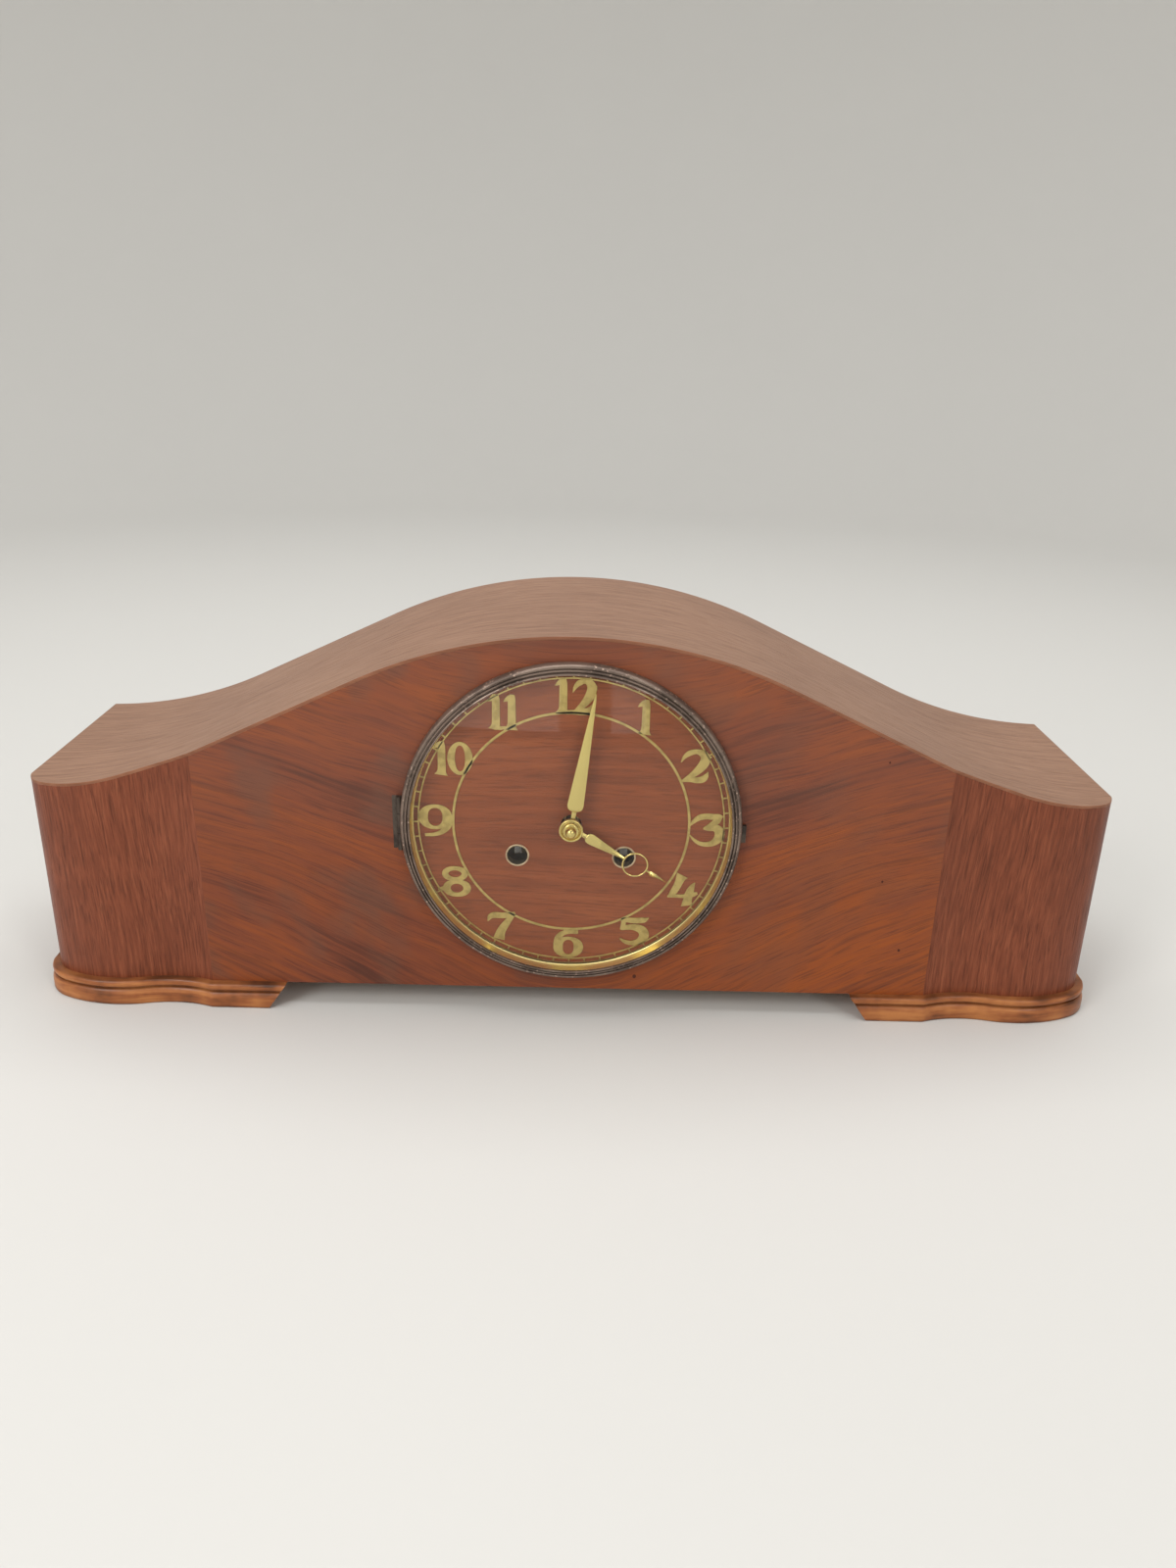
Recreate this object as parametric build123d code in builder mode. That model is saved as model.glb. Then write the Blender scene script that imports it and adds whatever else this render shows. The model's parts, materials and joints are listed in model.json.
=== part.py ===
from build123d import *
import os
from math import atan2, cos, degrees, hypot, radians, sin, sqrt, tan

# A low, wide wooden mantel clock with a round-topped case.
# Millimetres, +Z up. The clock faces -Y and stands on the plane z = 0. The origin is the
# centre of the clock's footprint. Places in depth are counted from the flat front face,
# positive to the rear.

# Case
case_width = 520.0
case_depth = 126.3
crown_height = 192.4
crown_radius = 232.5
flank_angle = 25.3
flank_end_x = 175.1
hollow_radius = 208.5
seam_x = 177.0
corner_depth = 19.0
veneer_thickness = 1.5
ply_thickness = 6.0
panel_thickness = 14.0
block_wall = 14.0
block_top_wall = 14.0
base_thickness = 10.0
frame_thickness = 9.0

# The end blocks' front in plan: the middle and end of the hollow, then the middle and end of
# the bulge, as shares of the block's width and of the corner's depth, with the direction
# that each point faces, in degrees
ogee_shares = ((0.217, 0.195, -88), (0.422, 0.10, -103), (0.639, 0.045, -85), (0.88, 0.337, -64))

# Feet
foot_height = 12.7
foot_inner_top_x = 140.0
foot_inner_ground_x = 149.0
foot_proud = 4.8
foot_rear_inset = 2.0
bead_proud = 4.2
bead_height = 3.6
bead_slope = 1.1
quirk_proud = 2.4
quirk_height = 0.9
sole_slope = 2.6

# Dial
dial_cover = 3.8
dial_recess = 1.0
dial_thickness = 5.0
dial_fit = 0.15
opening_margin = 11.15
dial_centre_hole_radius = 5.0
numeral_band = 20.6
ring_width = 1.2
ring_thickness = 0.4
grommet_hole_radius = 4.85
grommet_wall = 0.85
grommet_proud = 0.5
grommet_length = 4.4

# Bezel, glass and sight ring
bezel_floor_margin = 8.5
bezel_crown_margin = 11.2
bezel_width = 4.4
bezel_lip = 0.5
bezel_gap = 0.3
bezel_rim_height = 4.3
bezel_height = 7.0
bezel_lip_width = 2.3
bezel_groove_depth = 1.4
lip_clearance = 0.1
glass_thickness = 1.5
glass_rise = 8.0
glass_seat = 4.8
sight_width = 2.2
sight_height = 3.9

# Bezel hinge and catch
hinge_length = 27.0
hinge_barrel_radius = 1.4
hinge_pin_radius = 0.6
hinge_axis_out = 0.3
hinge_fit = 0.05
hinge_gap = 0.3
hinge_leaf_width = 3.6
hinge_leaf_thickness = 1.0
hinge_knuckle_share = 0.36
catch_length = 8.5
catch_reach = 2.2
catch_thickness = 1.8
catch_drop = 1.8

# Hands
minute_angle = 8.7
minute_tip_margin = 7.2
minute_hand_back = 5.0
minute_hand_width = 7.4
minute_hub_radius = 4.2
hour_tip_gap = 2.1
hour_hand_back = 3.0
hour_hand_width = 6.0
hour_hub_radius = 5.0
hour_tip_length = 17.9
hour_ring_radius = 6.35
hour_ring_wire = 0.95
hour_blade_overlap = 0.654
hour_neck_length = 8.366
hour_shoulder_place = 9.612
hour_widest_place = 11.392
hand_neck_width = 2.2
hand_thickness = 0.9
hand_edge_thickness = 0.35
washer_radius = 5.75
washer_height = 2.0
washer_slope = 49.0
nut_radius = 2.65
nut_height = 3.4
nut_dome_height = 1.8
nut_dome_slope = 42.0

# The minute hand's outline: share of its length, share of its half width
minute_hand_shares = ((0.135, 0.30), (0.155, 0.86), (0.18, 1.0), (0.60, 0.52), (0.985, 0.10))
# The hour hand's tip in the same shares
hour_tip_shares = ((0.16, 0.16), (0.42, 0.34), (0.98, 0.06))
# Half widths of the hour hand's blade at its neck, shoulder, widest place and end
hour_width_shares = (0.36, 0.86, 1.0, 0.20)

# Movement frame
winding_span = 50.8
winding_drop = 16.4
strap_thickness = 1.5
strap_length = 140.0
strap_height = 10.0
plate_thickness = 2.0
plate_gap = 28.0
plate_half_width = 55.0
plate_above = 56.0
plate_below = 50.0
pillar_radius = 3.0
pillar_inset = 7.0
lower_pillar_x = 40.0
lower_pillar_inset = 5.5
pillar_nut_width = 8.0
pillar_nut_height = 3.0
pivot_fit = 0.05
arbor_radius = 1.2

# Toothed wheels. A tooth is a slim wedge, in shares of the module
addendum_share = 0.85
dedendum_share = 1.15
wheel_thickness = 1.6
pinion_margin = 0.7
rim_share = 2.6
wheel_hub_radius = 4.0
spoke_width = 2.4
spokes = 4

great_teeth = 40
great_thickness = 2.2
drum_radius = 21.5
drum_length = 16.5
great_front_gap = 1.5
great_stagger = 3.2
winding_arbor_radius = 3.0
winding_square = 3.6
winding_square_length = 9.0
winding_end = 7.0
ratchet_radius = 8.0
ratchet_root_radius = 6.6
ratchet_teeth = 12
ratchet_thickness = 1.6
ratchet_gap = 0.6
click_radius = 2.4
click_reach = 12.5
click_angle = 62.0
click_nose_gap = 0.25
click_lead = 24.0

centre_pinion_leaves = 8
centre_teeth = 48
centre_module = 0.91
centre_wheel_inset = 1.5
third_leaves = 8
third_teeth = 40
third_module = 0.76
third_angle = 55.2
third_wheel_place = 14.0
escape_leaves = 8
escape_angle = 143.0
escape_teeth = 24
escape_radius = 9.0
escape_root_radius = 7.3
escape_thickness = 1.0
escape_wheel_place = 22.5

# Motion work behind the dial
cannon_leaves = 10
minute_wheel_teeth = 30
minute_leaves = 8
hour_wheel_teeth = 32
motion_distance = 12.0
motion_angle = -60.0
cannon_radius = 1.8
hour_pipe_radius = 2.6
motion_fit = 0.07
motion_plate_gap = 0.6
motion_layer_gap = 1.4
minute_stud_radius = 0.9

# Escapement and pendulum
pallet_angle = 45.0
pallet_gap = 0.55
anchor_arm = 2.0
anchor_hub_radius = 2.2
anchor_thickness = 3.0
crutch_gap = 2.5
crutch_drop = 22.0
crutch_thickness = 1.2
crutch_width = 2.0
pendulum_place = 10.5
suspension_width = 4.0
suspension_strip = 0.3
suspension_length = 9.0
suspension_play = 0.35
cock_width = 8.0
cock_height = 7.0
cock_rise = 1.5
cock_rear_wall = 2.0
pendulum_length = 88.0
pendulum_rod_radius = 1.1
bob_radius = 13.0
bob_thickness = 6.0
bob_face_radius = 10.0
bob_rim = 1.6
rating_nut_radius = 2.6
rating_nut_height = 2.2

# Hammers and gong
hammer_x = -51.0
hammer_drop = 36.0
hammer_reach = 29.0
hammer_fall = 11.0
hammer_arm_radius = 0.9
hammer_head_radius = 3.6
hammer_head_length = 9.0
hammer_gap = 2.5
gong_rod_radius = 1.3
gong_rod_neck_radius = 0.8
gong_rod_neck = 6.0
gong_rod_lengths = (205.0, 180.0)
gong_rod_places = (10.0, 20.0)
gong_block_length = 16.0
gong_block_margin = 5.0
gong_block_gap = 24.0
gong_block_rise = 8.0
gong_block_taper = 3.0

# Back door and its fittings
door_width = 206.0
door_bottom = 34.0
door_side_top = 122.0
door_crown = 148.0
door_thickness = 5.0
door_gap = 0.6
door_ledge = 5.0
door_ledge_gap = 0.3
butt_height = 22.0
butt_barrel_radius = 1.2
butt_pin_radius = 0.5
butt_leaf_width = 8.0
butt_leaf_thickness = 0.8
butt_places_shares = (0.16, 0.82)
button_length = 20.0
button_width = 6.0
button_thickness = 1.3
button_lift = 0.4
button_offset = 7.0
button_stem_radius = 1.5
button_stem_length = 5.0
button_head_radius = 2.6
button_head_height = 0.9

# Shared by every cut. Slim and small round pieces have a few flat sides
overrun = 2.0
full_turn = 360
slim_sides = 12
small_sides = 20
hole_sides = 8

# Worked out from the sizes above. The bezel fills the front between its two margins
half_width = case_width / 2
bezel_radius = (crown_height - foot_height - bezel_floor_margin - bezel_crown_margin) / 2
dial_height = foot_height + bezel_floor_margin + bezel_radius
glass_radius = bezel_radius - bezel_width
bezel_inner_radius = glass_radius - bezel_lip
sight_inner_radius = glass_radius - sight_width
dial_radius = bezel_radius - dial_cover
ring_radius = dial_radius - numeral_band
movement_opening = sqrt(2) * (dial_radius - opening_margin)
minute_hand_length = dial_radius - minute_tip_margin
hour_hand_length = ring_radius - hour_tip_gap
hour_ring_place = hour_hand_length - hour_tip_length
hour_blade_length = hour_ring_place - hour_ring_radius + hour_blade_overlap
front_reach = glass_seat + glass_thickness + glass_rise
rear_reach = max(button_lift + button_thickness + button_head_height, 2 * butt_barrel_radius)
face_y = front_reach - (front_reach + case_depth + rear_reach) / 2
rear_y = face_y + case_depth
case_floor = foot_height + base_thickness
flank_turn = radians(flank_angle)
plate_front = panel_thickness + strap_thickness
plate_inner = plate_front + plate_thickness
back_plate_inner = plate_inner + plate_gap
plate_rear = back_plate_inner + plate_thickness
frame_front = case_depth - frame_thickness


def facing(x, depth, z):
    """Plane that faces the viewer at a depth behind the front face; solids grow forward."""
    return Plane(origin=(x, face_y + depth, z), x_dir=(1, 0, 0), z_dir=(0, -1, 0))


def turned(place, reach, angle):
    """Place at a reach from another place, at an angle counted anticlockwise from the right."""
    return (place[0] + reach * cos(radians(angle)), place[1] + reach * sin(radians(angle)))


def finish(part, name):
    """Label a piece and write its file."""
    part.label = name
    export_step(part, "parts/" + name + ".step")


os.makedirs("parts", exist_ok=True)


# Outline of the case from the front
def case_section(inset):
    """Whole front outline of the case, its curved top drawn in by an inset."""
    crown_z = crown_height - crown_radius
    flank_x = crown_radius * sin(flank_turn)
    flank_z = crown_z + crown_radius * cos(flank_turn)
    foot_z = flank_z - (flank_end_x - flank_x) * tan(flank_turn)
    hollow_x = flank_end_x + hollow_radius * sin(flank_turn)
    hollow_z = foot_z + hollow_radius * cos(flank_turn)
    inner_crown = crown_radius - inset
    inner_hollow = hollow_radius + inset

    def on_crown(turn):
        return (inner_crown * sin(turn), crown_z + inner_crown * cos(turn))

    def on_hollow(x):
        return (x, hollow_z - sqrt(inner_hollow**2 - (x - hollow_x) ** 2))

    flank_foot = (hollow_x - inner_hollow * sin(flank_turn), hollow_z - inner_hollow * cos(flank_turn))
    hollow_middle = on_hollow((flank_foot[0] + half_width) / 2)
    with BuildSketch(Plane.XZ) as section:
        with BuildLine():
            Line((0, foot_height), (half_width, foot_height))
            Line((half_width, foot_height), on_hollow(half_width))
            ThreePointArc(on_hollow(half_width), hollow_middle, flank_foot)
            Line(flank_foot, on_crown(flank_turn))
            ThreePointArc(on_crown(flank_turn), on_crown(flank_turn / 2), on_crown(0))
            mirror(about=Plane.YZ)
        make_face()
    return section.sketch


def case_slab(inset, front, back, reach):
    """The case's outline as a slab between two depths, as wide as twice the reach."""
    with BuildPart() as slab:
        add(extrude(case_section(inset).moved(Location((0, face_y + back, 0))), amount=back - front))
        with Locations((0, face_y + (front + back) / 2, crown_height / 2)):
            Box(2 * reach, back - front, 2 * crown_height, mode=Mode.INTERSECT)
    return slab.part


# Plan of the case from above
def case_plan(proud, back_inset):
    """Plan of the whole case, its front and sides standing proud by a given amount."""
    block_width = half_width - seam_x
    seam = (seam_x, face_y - proud)
    corner = (half_width + proud, face_y + corner_depth)
    back_y = rear_y - back_inset
    ogee = [
        turned((seam_x + across * block_width, face_y + down * corner_depth), proud, way)
        for across, down, way in ogee_shares
    ]
    with BuildSketch() as plan:
        with BuildLine():
            Polyline((0, back_y), (0, face_y - proud), seam)
            ThreePointArc(seam, ogee[0], ogee[1])
            bulge = ThreePointArc(ogee[1], ogee[2], ogee[3])
            TangentArc(bulge @ 1, corner, tangent=bulge % 1)
            Polyline(corner, (half_width + proud, back_y), (0, back_y))
        make_face()
        mirror(about=Plane.YZ)
    return plan.sketch


# Front panel with the round seat of the dial, the movement's opening and the hinge's recess
dial_back = dial_recess + dial_thickness
hinge_axis_x = -(bezel_radius + hinge_axis_out)
with BuildPart() as front_panel:
    add(case_slab(veneer_thickness, 0, panel_thickness, seam_x))
    with BuildSketch(facing(0, panel_thickness, dial_height)):
        Rectangle(movement_opening, movement_opening)
    extrude(amount=panel_thickness + overrun, mode=Mode.SUBTRACT)
    with BuildSketch(facing(0, dial_back, dial_height)):
        RegularPolygon(dial_radius + dial_fit, 2 * small_sides)
    extrude(amount=dial_back + overrun, mode=Mode.SUBTRACT)
    with Locations((hinge_axis_x, face_y, dial_height)):
        Box(2 * hinge_leaf_width, 2 * hinge_leaf_thickness, hinge_length, mode=Mode.SUBTRACT)
finish(front_panel.part, "front_panel")

# End blocks with the hollowed and bulged front, pocketed behind the seam
block_width = half_width - seam_x
pocket_width = block_width - block_wall
pocket_depth = case_depth - corner_depth - 2 * block_wall
with BuildPart() as end_blocks:
    with BuildSketch(Plane.XY.offset(foot_height)) as block_plan:
        add(case_plan(0, 0))
        with Locations((seam_x + block_width, face_y + case_depth / 2)):
            Rectangle(2 * block_width, 2 * case_depth, mode=Mode.INTERSECT)
    extrude(amount=crown_height)
    add(case_slab(veneer_thickness, -overrun, case_depth + overrun, half_width), mode=Mode.INTERSECT)
    with BuildPart(mode=Mode.PRIVATE) as pocket:
        with Locations((seam_x + pocket_width / 2, rear_y - block_wall - pocket_depth / 2,
                        case_floor + crown_height / 2)):
            Box(pocket_width, pocket_depth, crown_height)
        add(case_slab(block_top_wall, 0, case_depth, half_width), mode=Mode.INTERSECT)
    add(pocket.part, mode=Mode.SUBTRACT)
    mirror(about=Plane.YZ)
finish(end_blocks.part, "end_blocks")

# Bent top: one skin over the whole case, flush with the front, thicker between panel and frame
with BuildPart() as bent_top:
    with BuildSketch(Plane.XY.offset(foot_height)):
        add(case_plan(0, 0))
    extrude(amount=crown_height)
    add(case_slab(0, -overrun, case_depth + overrun, half_width), mode=Mode.INTERSECT)
    add(case_slab(veneer_thickness, -2 * overrun, case_depth + 2 * overrun, case_width), mode=Mode.SUBTRACT)
    with BuildPart(mode=Mode.PRIVATE) as ply:
        add(case_slab(veneer_thickness, panel_thickness, frame_front, seam_x))
        add(case_slab(veneer_thickness + ply_thickness, 0, case_depth, case_width), mode=Mode.SUBTRACT)
    add(ply.part)
finish(bent_top.part, "bent_top")

# Base board between the end blocks
with BuildPart() as base_board:
    with Locations((0, face_y + (panel_thickness + frame_front) / 2, foot_height + base_thickness / 2)):
        Box(2 * seam_x, frame_front - panel_thickness, base_thickness)
finish(base_board.part, "base_board")

# Feet: a moulded board under each end, its inner end slanted
def moulding_level(proud, level):
    """Plan of the moulding at a level."""
    return case_plan(proud, foot_rear_inset).moved(Location((0, 0, level)))


sole_height = foot_height - bead_height - quirk_height
bead_bottom = foot_height - bead_height
with BuildPart() as feet:
    extrude(moulding_level(foot_proud, 0), amount=sole_height - sole_slope)
    loft([moulding_level(foot_proud, sole_height - sole_slope),
          moulding_level(foot_proud - sole_slope, sole_height)], ruled=True)
    extrude(moulding_level(quirk_proud, sole_height), amount=quirk_height)
    extrude(moulding_level(bead_proud, bead_bottom), amount=bead_height - bead_slope)
    loft([moulding_level(bead_proud, foot_height - bead_slope),
          moulding_level(bead_proud - bead_slope, foot_height)], ruled=True)
    with BuildSketch(Plane.XZ):
        with BuildLine():
            Polyline((-foot_inner_ground_x, 0), (foot_inner_ground_x, 0), (foot_inner_top_x, foot_height),
                     (-foot_inner_top_x, foot_height), close=True)
        make_face()
    extrude(amount=case_width, both=True, mode=Mode.SUBTRACT)
finish(feet.part, "feet")


# Back frame with the stepped opening of the door
def door_outline(grow):
    """Outline of the back door, wider all round by a given amount."""
    reach = door_width / 2 + grow
    with BuildSketch(Plane.XZ) as outline:
        with BuildLine():
            Polyline((-reach, door_side_top), (-reach, door_bottom - grow), (reach, door_bottom - grow),
                     (reach, door_side_top))
            ThreePointArc((reach, door_side_top), (0, door_crown + grow), (-reach, door_side_top))
        make_face()
    return outline.sketch


button_x = door_width / 2 + door_gap + button_offset
button_z = (door_bottom + door_side_top) / 2
with BuildPart() as back_frame:
    add(case_slab(veneer_thickness, frame_front, case_depth, seam_x))
    add(extrude(door_outline(door_gap).moved(Location((0, rear_y + overrun, 0))),
                amount=overrun + door_thickness + door_ledge_gap), mode=Mode.SUBTRACT)
    add(extrude(door_outline(-door_ledge).moved(Location((0, rear_y + overrun, 0))),
                amount=2 * overrun + frame_thickness), mode=Mode.SUBTRACT)
    with BuildSketch(facing(button_x, case_depth - button_stem_length - overrun / 2, button_z)):
        RegularPolygon(button_stem_radius + hinge_fit, slim_sides, major_radius=False)
    extrude(amount=-(button_stem_length + 2 * overrun), mode=Mode.SUBTRACT)
finish(back_frame.part, "back_frame")

# Back door
with BuildPart() as back_door:
    add(extrude(door_outline(0).moved(Location((0, rear_y, 0))), amount=door_thickness))
finish(back_door.part, "back_door")


# Knuckled hinges, upright, with the leaves on both sides of the pin
def knuckle_levels(length, middle_share):
    """Lowest and highest level of the middle knuckle, counted from the hinge's middle."""
    return (-length * middle_share / 2, length * middle_share / 2)


def upright_bar(x, y, middle, height, radius, mode=Mode.ADD):
    """A slim upright bar with flat sides, or the hole for one."""
    with BuildSketch(Plane(origin=(x, y, middle - height / 2))) as section:
        RegularPolygon(radius, slim_sides, major_radius=mode == Mode.ADD)
    extrude(section.sketch, amount=height, mode=mode)


butt_axis_x = -(door_width + door_gap) / 2
butt_axis_y = rear_y + butt_barrel_radius
butt_middles = [door_bottom + share * (door_side_top - door_bottom) for share in butt_places_shares]
butt_low, butt_high = knuckle_levels(butt_height, hinge_knuckle_share)
with BuildPart() as door_hinge_leaves:
    for middle in butt_middles:
        upright_bar(butt_axis_x, butt_axis_y, middle, butt_height, butt_barrel_radius)
        with Locations((butt_axis_x - butt_leaf_width / 2, rear_y + butt_leaf_thickness / 2, middle)):
            Box(butt_leaf_width, butt_leaf_thickness, butt_height)
        with Locations((butt_axis_x, butt_axis_y, middle)):
            Box(4 * butt_barrel_radius, 4 * butt_barrel_radius, butt_high - butt_low + 2 * hinge_gap,
                mode=Mode.SUBTRACT)
        upright_bar(butt_axis_x, butt_axis_y, middle, butt_height, butt_pin_radius)
finish(door_hinge_leaves.part, "door_hinge_leaves")

with BuildPart() as door_hinge_knuckles:
    for middle in butt_middles:
        upright_bar(butt_axis_x, butt_axis_y, middle, butt_high - butt_low, butt_barrel_radius)
        with Locations((butt_axis_x + butt_leaf_width / 2, rear_y + butt_leaf_thickness / 2, middle)):
            Box(butt_leaf_width, butt_leaf_thickness, butt_high - butt_low)
        upright_bar(butt_axis_x, butt_axis_y, middle, butt_height, butt_pin_radius + hinge_fit,
                    Mode.SUBTRACT)
finish(door_hinge_knuckles.part, "door_hinge_knuckles")

# Turn button that keeps the door shut, drawn upright, out of the door's way
with BuildPart() as turn_button:
    with BuildSketch(facing(button_x, case_depth + button_lift, button_z)):
        SlotOverall(button_length, button_width, rotation=90)
    extrude(amount=-button_thickness)
    with BuildSketch(facing(button_x, case_depth - button_stem_length, button_z)):
        Circle(button_stem_radius)
    extrude(amount=-(button_stem_length + button_lift))
    with BuildSketch(facing(button_x, case_depth + button_lift + button_thickness, button_z)):
        RegularPolygon(button_head_radius, slim_sides)
    extrude(amount=-button_head_height)
finish(turn_button.part, "turn_button")

# Dial board with its three holes
winding_places = ((-winding_span / 2, -winding_drop), (winding_span / 2, -winding_drop))
grommet_outer = grommet_hole_radius + grommet_wall
with BuildPart() as dial_board:
    with BuildSketch(facing(0, dial_back, dial_height)):
        RegularPolygon(dial_radius, 2 * small_sides)
        RegularPolygon(dial_centre_hole_radius, small_sides, mode=Mode.SUBTRACT)
        with Locations(*winding_places):
            RegularPolygon(grommet_outer, small_sides, mode=Mode.SUBTRACT)
    extrude(amount=dial_thickness)
finish(dial_board.part, "dial_board")

# Brass chapter ring inside the numerals
with BuildPart() as chapter_ring:
    with BuildSketch(facing(0, dial_recess, dial_height)):
        RegularPolygon(ring_radius + ring_width / 2, 2 * small_sides)
        RegularPolygon(ring_radius - ring_width / 2, 2 * small_sides, mode=Mode.SUBTRACT)
    extrude(amount=ring_thickness)
finish(chapter_ring.part, "chapter_ring")

# Brass grommets of the winding holes
with BuildPart() as winding_grommets:
    with BuildSketch(facing(0, dial_recess + grommet_length, dial_height)):
        with Locations(*winding_places):
            RegularPolygon(grommet_outer, small_sides)
            RegularPolygon(grommet_hole_radius, small_sides, mode=Mode.SUBTRACT)
    extrude(amount=grommet_length + grommet_proud)
finish(winding_grommets.part, "winding_grommets")

# Domed glass: a shell between two spheres, cut round
dial_axis = Axis((0, face_y, dial_height), (0, 1, 0))
glass_bow = (glass_radius**2 + glass_rise**2) / (2 * glass_rise)
glass_middle_y = face_y - glass_seat - glass_rise + glass_bow
with BuildPart() as glass_dome:
    with Locations((0, glass_middle_y, dial_height)):
        Sphere(glass_bow + glass_thickness)
        Sphere(glass_bow, mode=Mode.SUBTRACT)
    with BuildSketch(facing(0, -glass_seat + glass_thickness, dial_height)):
        Circle(glass_radius)
    extrude(amount=2 * glass_rise, mode=Mode.INTERSECT)
finish(glass_dome.part, "glass_dome")

# Bezel ring: a rim, a groove and a lip that leans over the edge of the glass
hinge_axis_y = face_y - hinge_barrel_radius
glass_edge_y = glass_middle_y - sqrt((glass_bow + glass_thickness) ** 2 - glass_radius**2)
with BuildPart() as bezel_ring:
    with BuildSketch(Plane.XY.offset(dial_height)):
        with BuildLine():
            Polyline(
                (glass_radius, face_y - bezel_gap),
                (bezel_radius, face_y - bezel_gap),
                (bezel_radius, face_y - bezel_rim_height),
                (bezel_inner_radius + bezel_lip_width, face_y - bezel_height + bezel_groove_depth),
                (bezel_inner_radius, face_y - bezel_height),
                (glass_radius, glass_edge_y - lip_clearance),
                close=True,
            )
        make_face()
    revolve(axis=dial_axis)
    with Locations((hinge_axis_x, hinge_axis_y, dial_height)):
        Box(2 * (hinge_barrel_radius + hinge_gap), 2 * (hinge_barrel_radius + hinge_gap),
            hinge_length + 2 * hinge_gap, mode=Mode.SUBTRACT)
finish(bezel_ring.part, "bezel_ring")

# Polished sight ring that holds the glass from behind
with BuildPart() as sight_ring:
    with BuildSketch(Plane.XY.offset(dial_height)):
        with BuildLine():
            sight_back = face_y - glass_seat + sight_height
            Polyline((glass_radius, face_y - glass_seat), (glass_radius, sight_back),
                     (sight_inner_radius, sight_back), close=True)
        make_face()
    revolve(axis=dial_axis)
finish(sight_ring.part, "sight_ring")

# Bezel hinge: the fixed leaf lies in the panel, the moving knuckle is brazed to the ring
hinge_low, hinge_high = knuckle_levels(hinge_length, hinge_knuckle_share)
with BuildPart() as bezel_hinge_leaf:
    with Locations((hinge_axis_x, hinge_axis_y, dial_height)):
        Cylinder(hinge_barrel_radius, hinge_length)
    with Locations((hinge_axis_x, face_y - hinge_barrel_radius / 2, dial_height)):
        Box(hinge_barrel_radius, hinge_barrel_radius, hinge_length)
    with Locations((hinge_axis_x, face_y + hinge_leaf_thickness / 2, dial_height)):
        Box(2 * hinge_leaf_width, hinge_leaf_thickness, hinge_length)
    with Locations((hinge_axis_x, face_y - hinge_barrel_radius - hinge_gap / 2, dial_height)):
        Box(3 * hinge_barrel_radius, 2 * hinge_barrel_radius + hinge_gap,
            hinge_high - hinge_low + 2 * hinge_gap, mode=Mode.SUBTRACT)
    upright_bar(hinge_axis_x, hinge_axis_y, dial_height, hinge_length, hinge_pin_radius)
finish(bezel_hinge_leaf.part, "bezel_hinge_leaf")

with BuildPart() as bezel_hinge_knuckle:
    tongue = hinge_barrel_radius + hinge_gap + bezel_gap
    with Locations((hinge_axis_x, hinge_axis_y, dial_height)):
        Cylinder(hinge_barrel_radius, hinge_high - hinge_low)
    with Locations((hinge_axis_x + tongue / 2, hinge_axis_y, dial_height)):
        Box(tongue, hinge_barrel_radius, hinge_high - hinge_low)
    upright_bar(hinge_axis_x, hinge_axis_y, dial_height, hinge_length, hinge_pin_radius + hinge_fit,
                Mode.SUBTRACT)
    add(bezel_ring.part, mode=Mode.SUBTRACT)
finish(bezel_hinge_knuckle.part, "bezel_hinge_knuckle")

# Catch tab on the right of the bezel
with BuildPart() as bezel_catch:
    with Locations((bezel_radius, face_y - catch_thickness / 2 - bezel_gap, dial_height - catch_drop)):
        Box(2 * catch_reach, catch_thickness, catch_length)
    with BuildSketch(facing(0, overrun, dial_height)):
        Circle(bezel_radius)
    extrude(amount=bezel_height + 2 * overrun, mode=Mode.SUBTRACT)
finish(bezel_catch.part, "bezel_catch")

# Front and back plates with their pivot holes
time_place = winding_places[1]
strike_place = winding_places[0]
centre_place = (0, 0)
great_module = 2 * hypot(*time_place) / (great_teeth + centre_pinion_leaves)
third_place = turned(centre_place, centre_module * (centre_teeth + third_leaves) / 2, third_angle)
escape_place = turned(third_place, third_module * (third_teeth + escape_leaves) / 2, escape_angle)
anchor_rise = (escape_radius + pallet_gap) / cos(radians(pallet_angle))
anchor_place = (escape_place[0], escape_place[1] + anchor_rise)
minute_wheel_place = turned(centre_place, motion_distance, motion_angle)
hammer_place = (hammer_x, -hammer_drop)
pillar_places = (
    (plate_half_width - pillar_inset, plate_above - pillar_inset),
    (-plate_half_width + pillar_inset, plate_above - pillar_inset),
    (lower_pillar_x, -plate_below + lower_pillar_inset),
    (-lower_pillar_x, -plate_below + lower_pillar_inset),
)


def plate(back):
    """A plate of the movement, its back at a depth, with the holes of all arbors."""
    with BuildPart() as body:
        with BuildSketch(facing(0, back, dial_height)):
            with Locations((0, (plate_above - plate_below) / 2)):
                Rectangle(2 * plate_half_width, plate_above + plate_below)
            with Locations(third_place, escape_place, centre_place, anchor_place, hammer_place):
                RegularPolygon(arbor_radius + pivot_fit, hole_sides, major_radius=False,
                               mode=Mode.SUBTRACT)
            with Locations(*winding_places):
                RegularPolygon(winding_arbor_radius + pivot_fit, slim_sides, major_radius=False,
                               mode=Mode.SUBTRACT)
        extrude(amount=plate_thickness)
    return body.part


with BuildPart() as front_plate:
    add(plate(plate_inner))
    with BuildSketch(facing(minute_wheel_place[0], plate_front, dial_height + minute_wheel_place[1])):
        RegularPolygon(minute_stud_radius, slim_sides)
    extrude(amount=plate_front - dial_back - motion_plate_gap)
finish(front_plate.part, "front_plate")
finish(plate(plate_rear), "back_plate")

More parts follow.
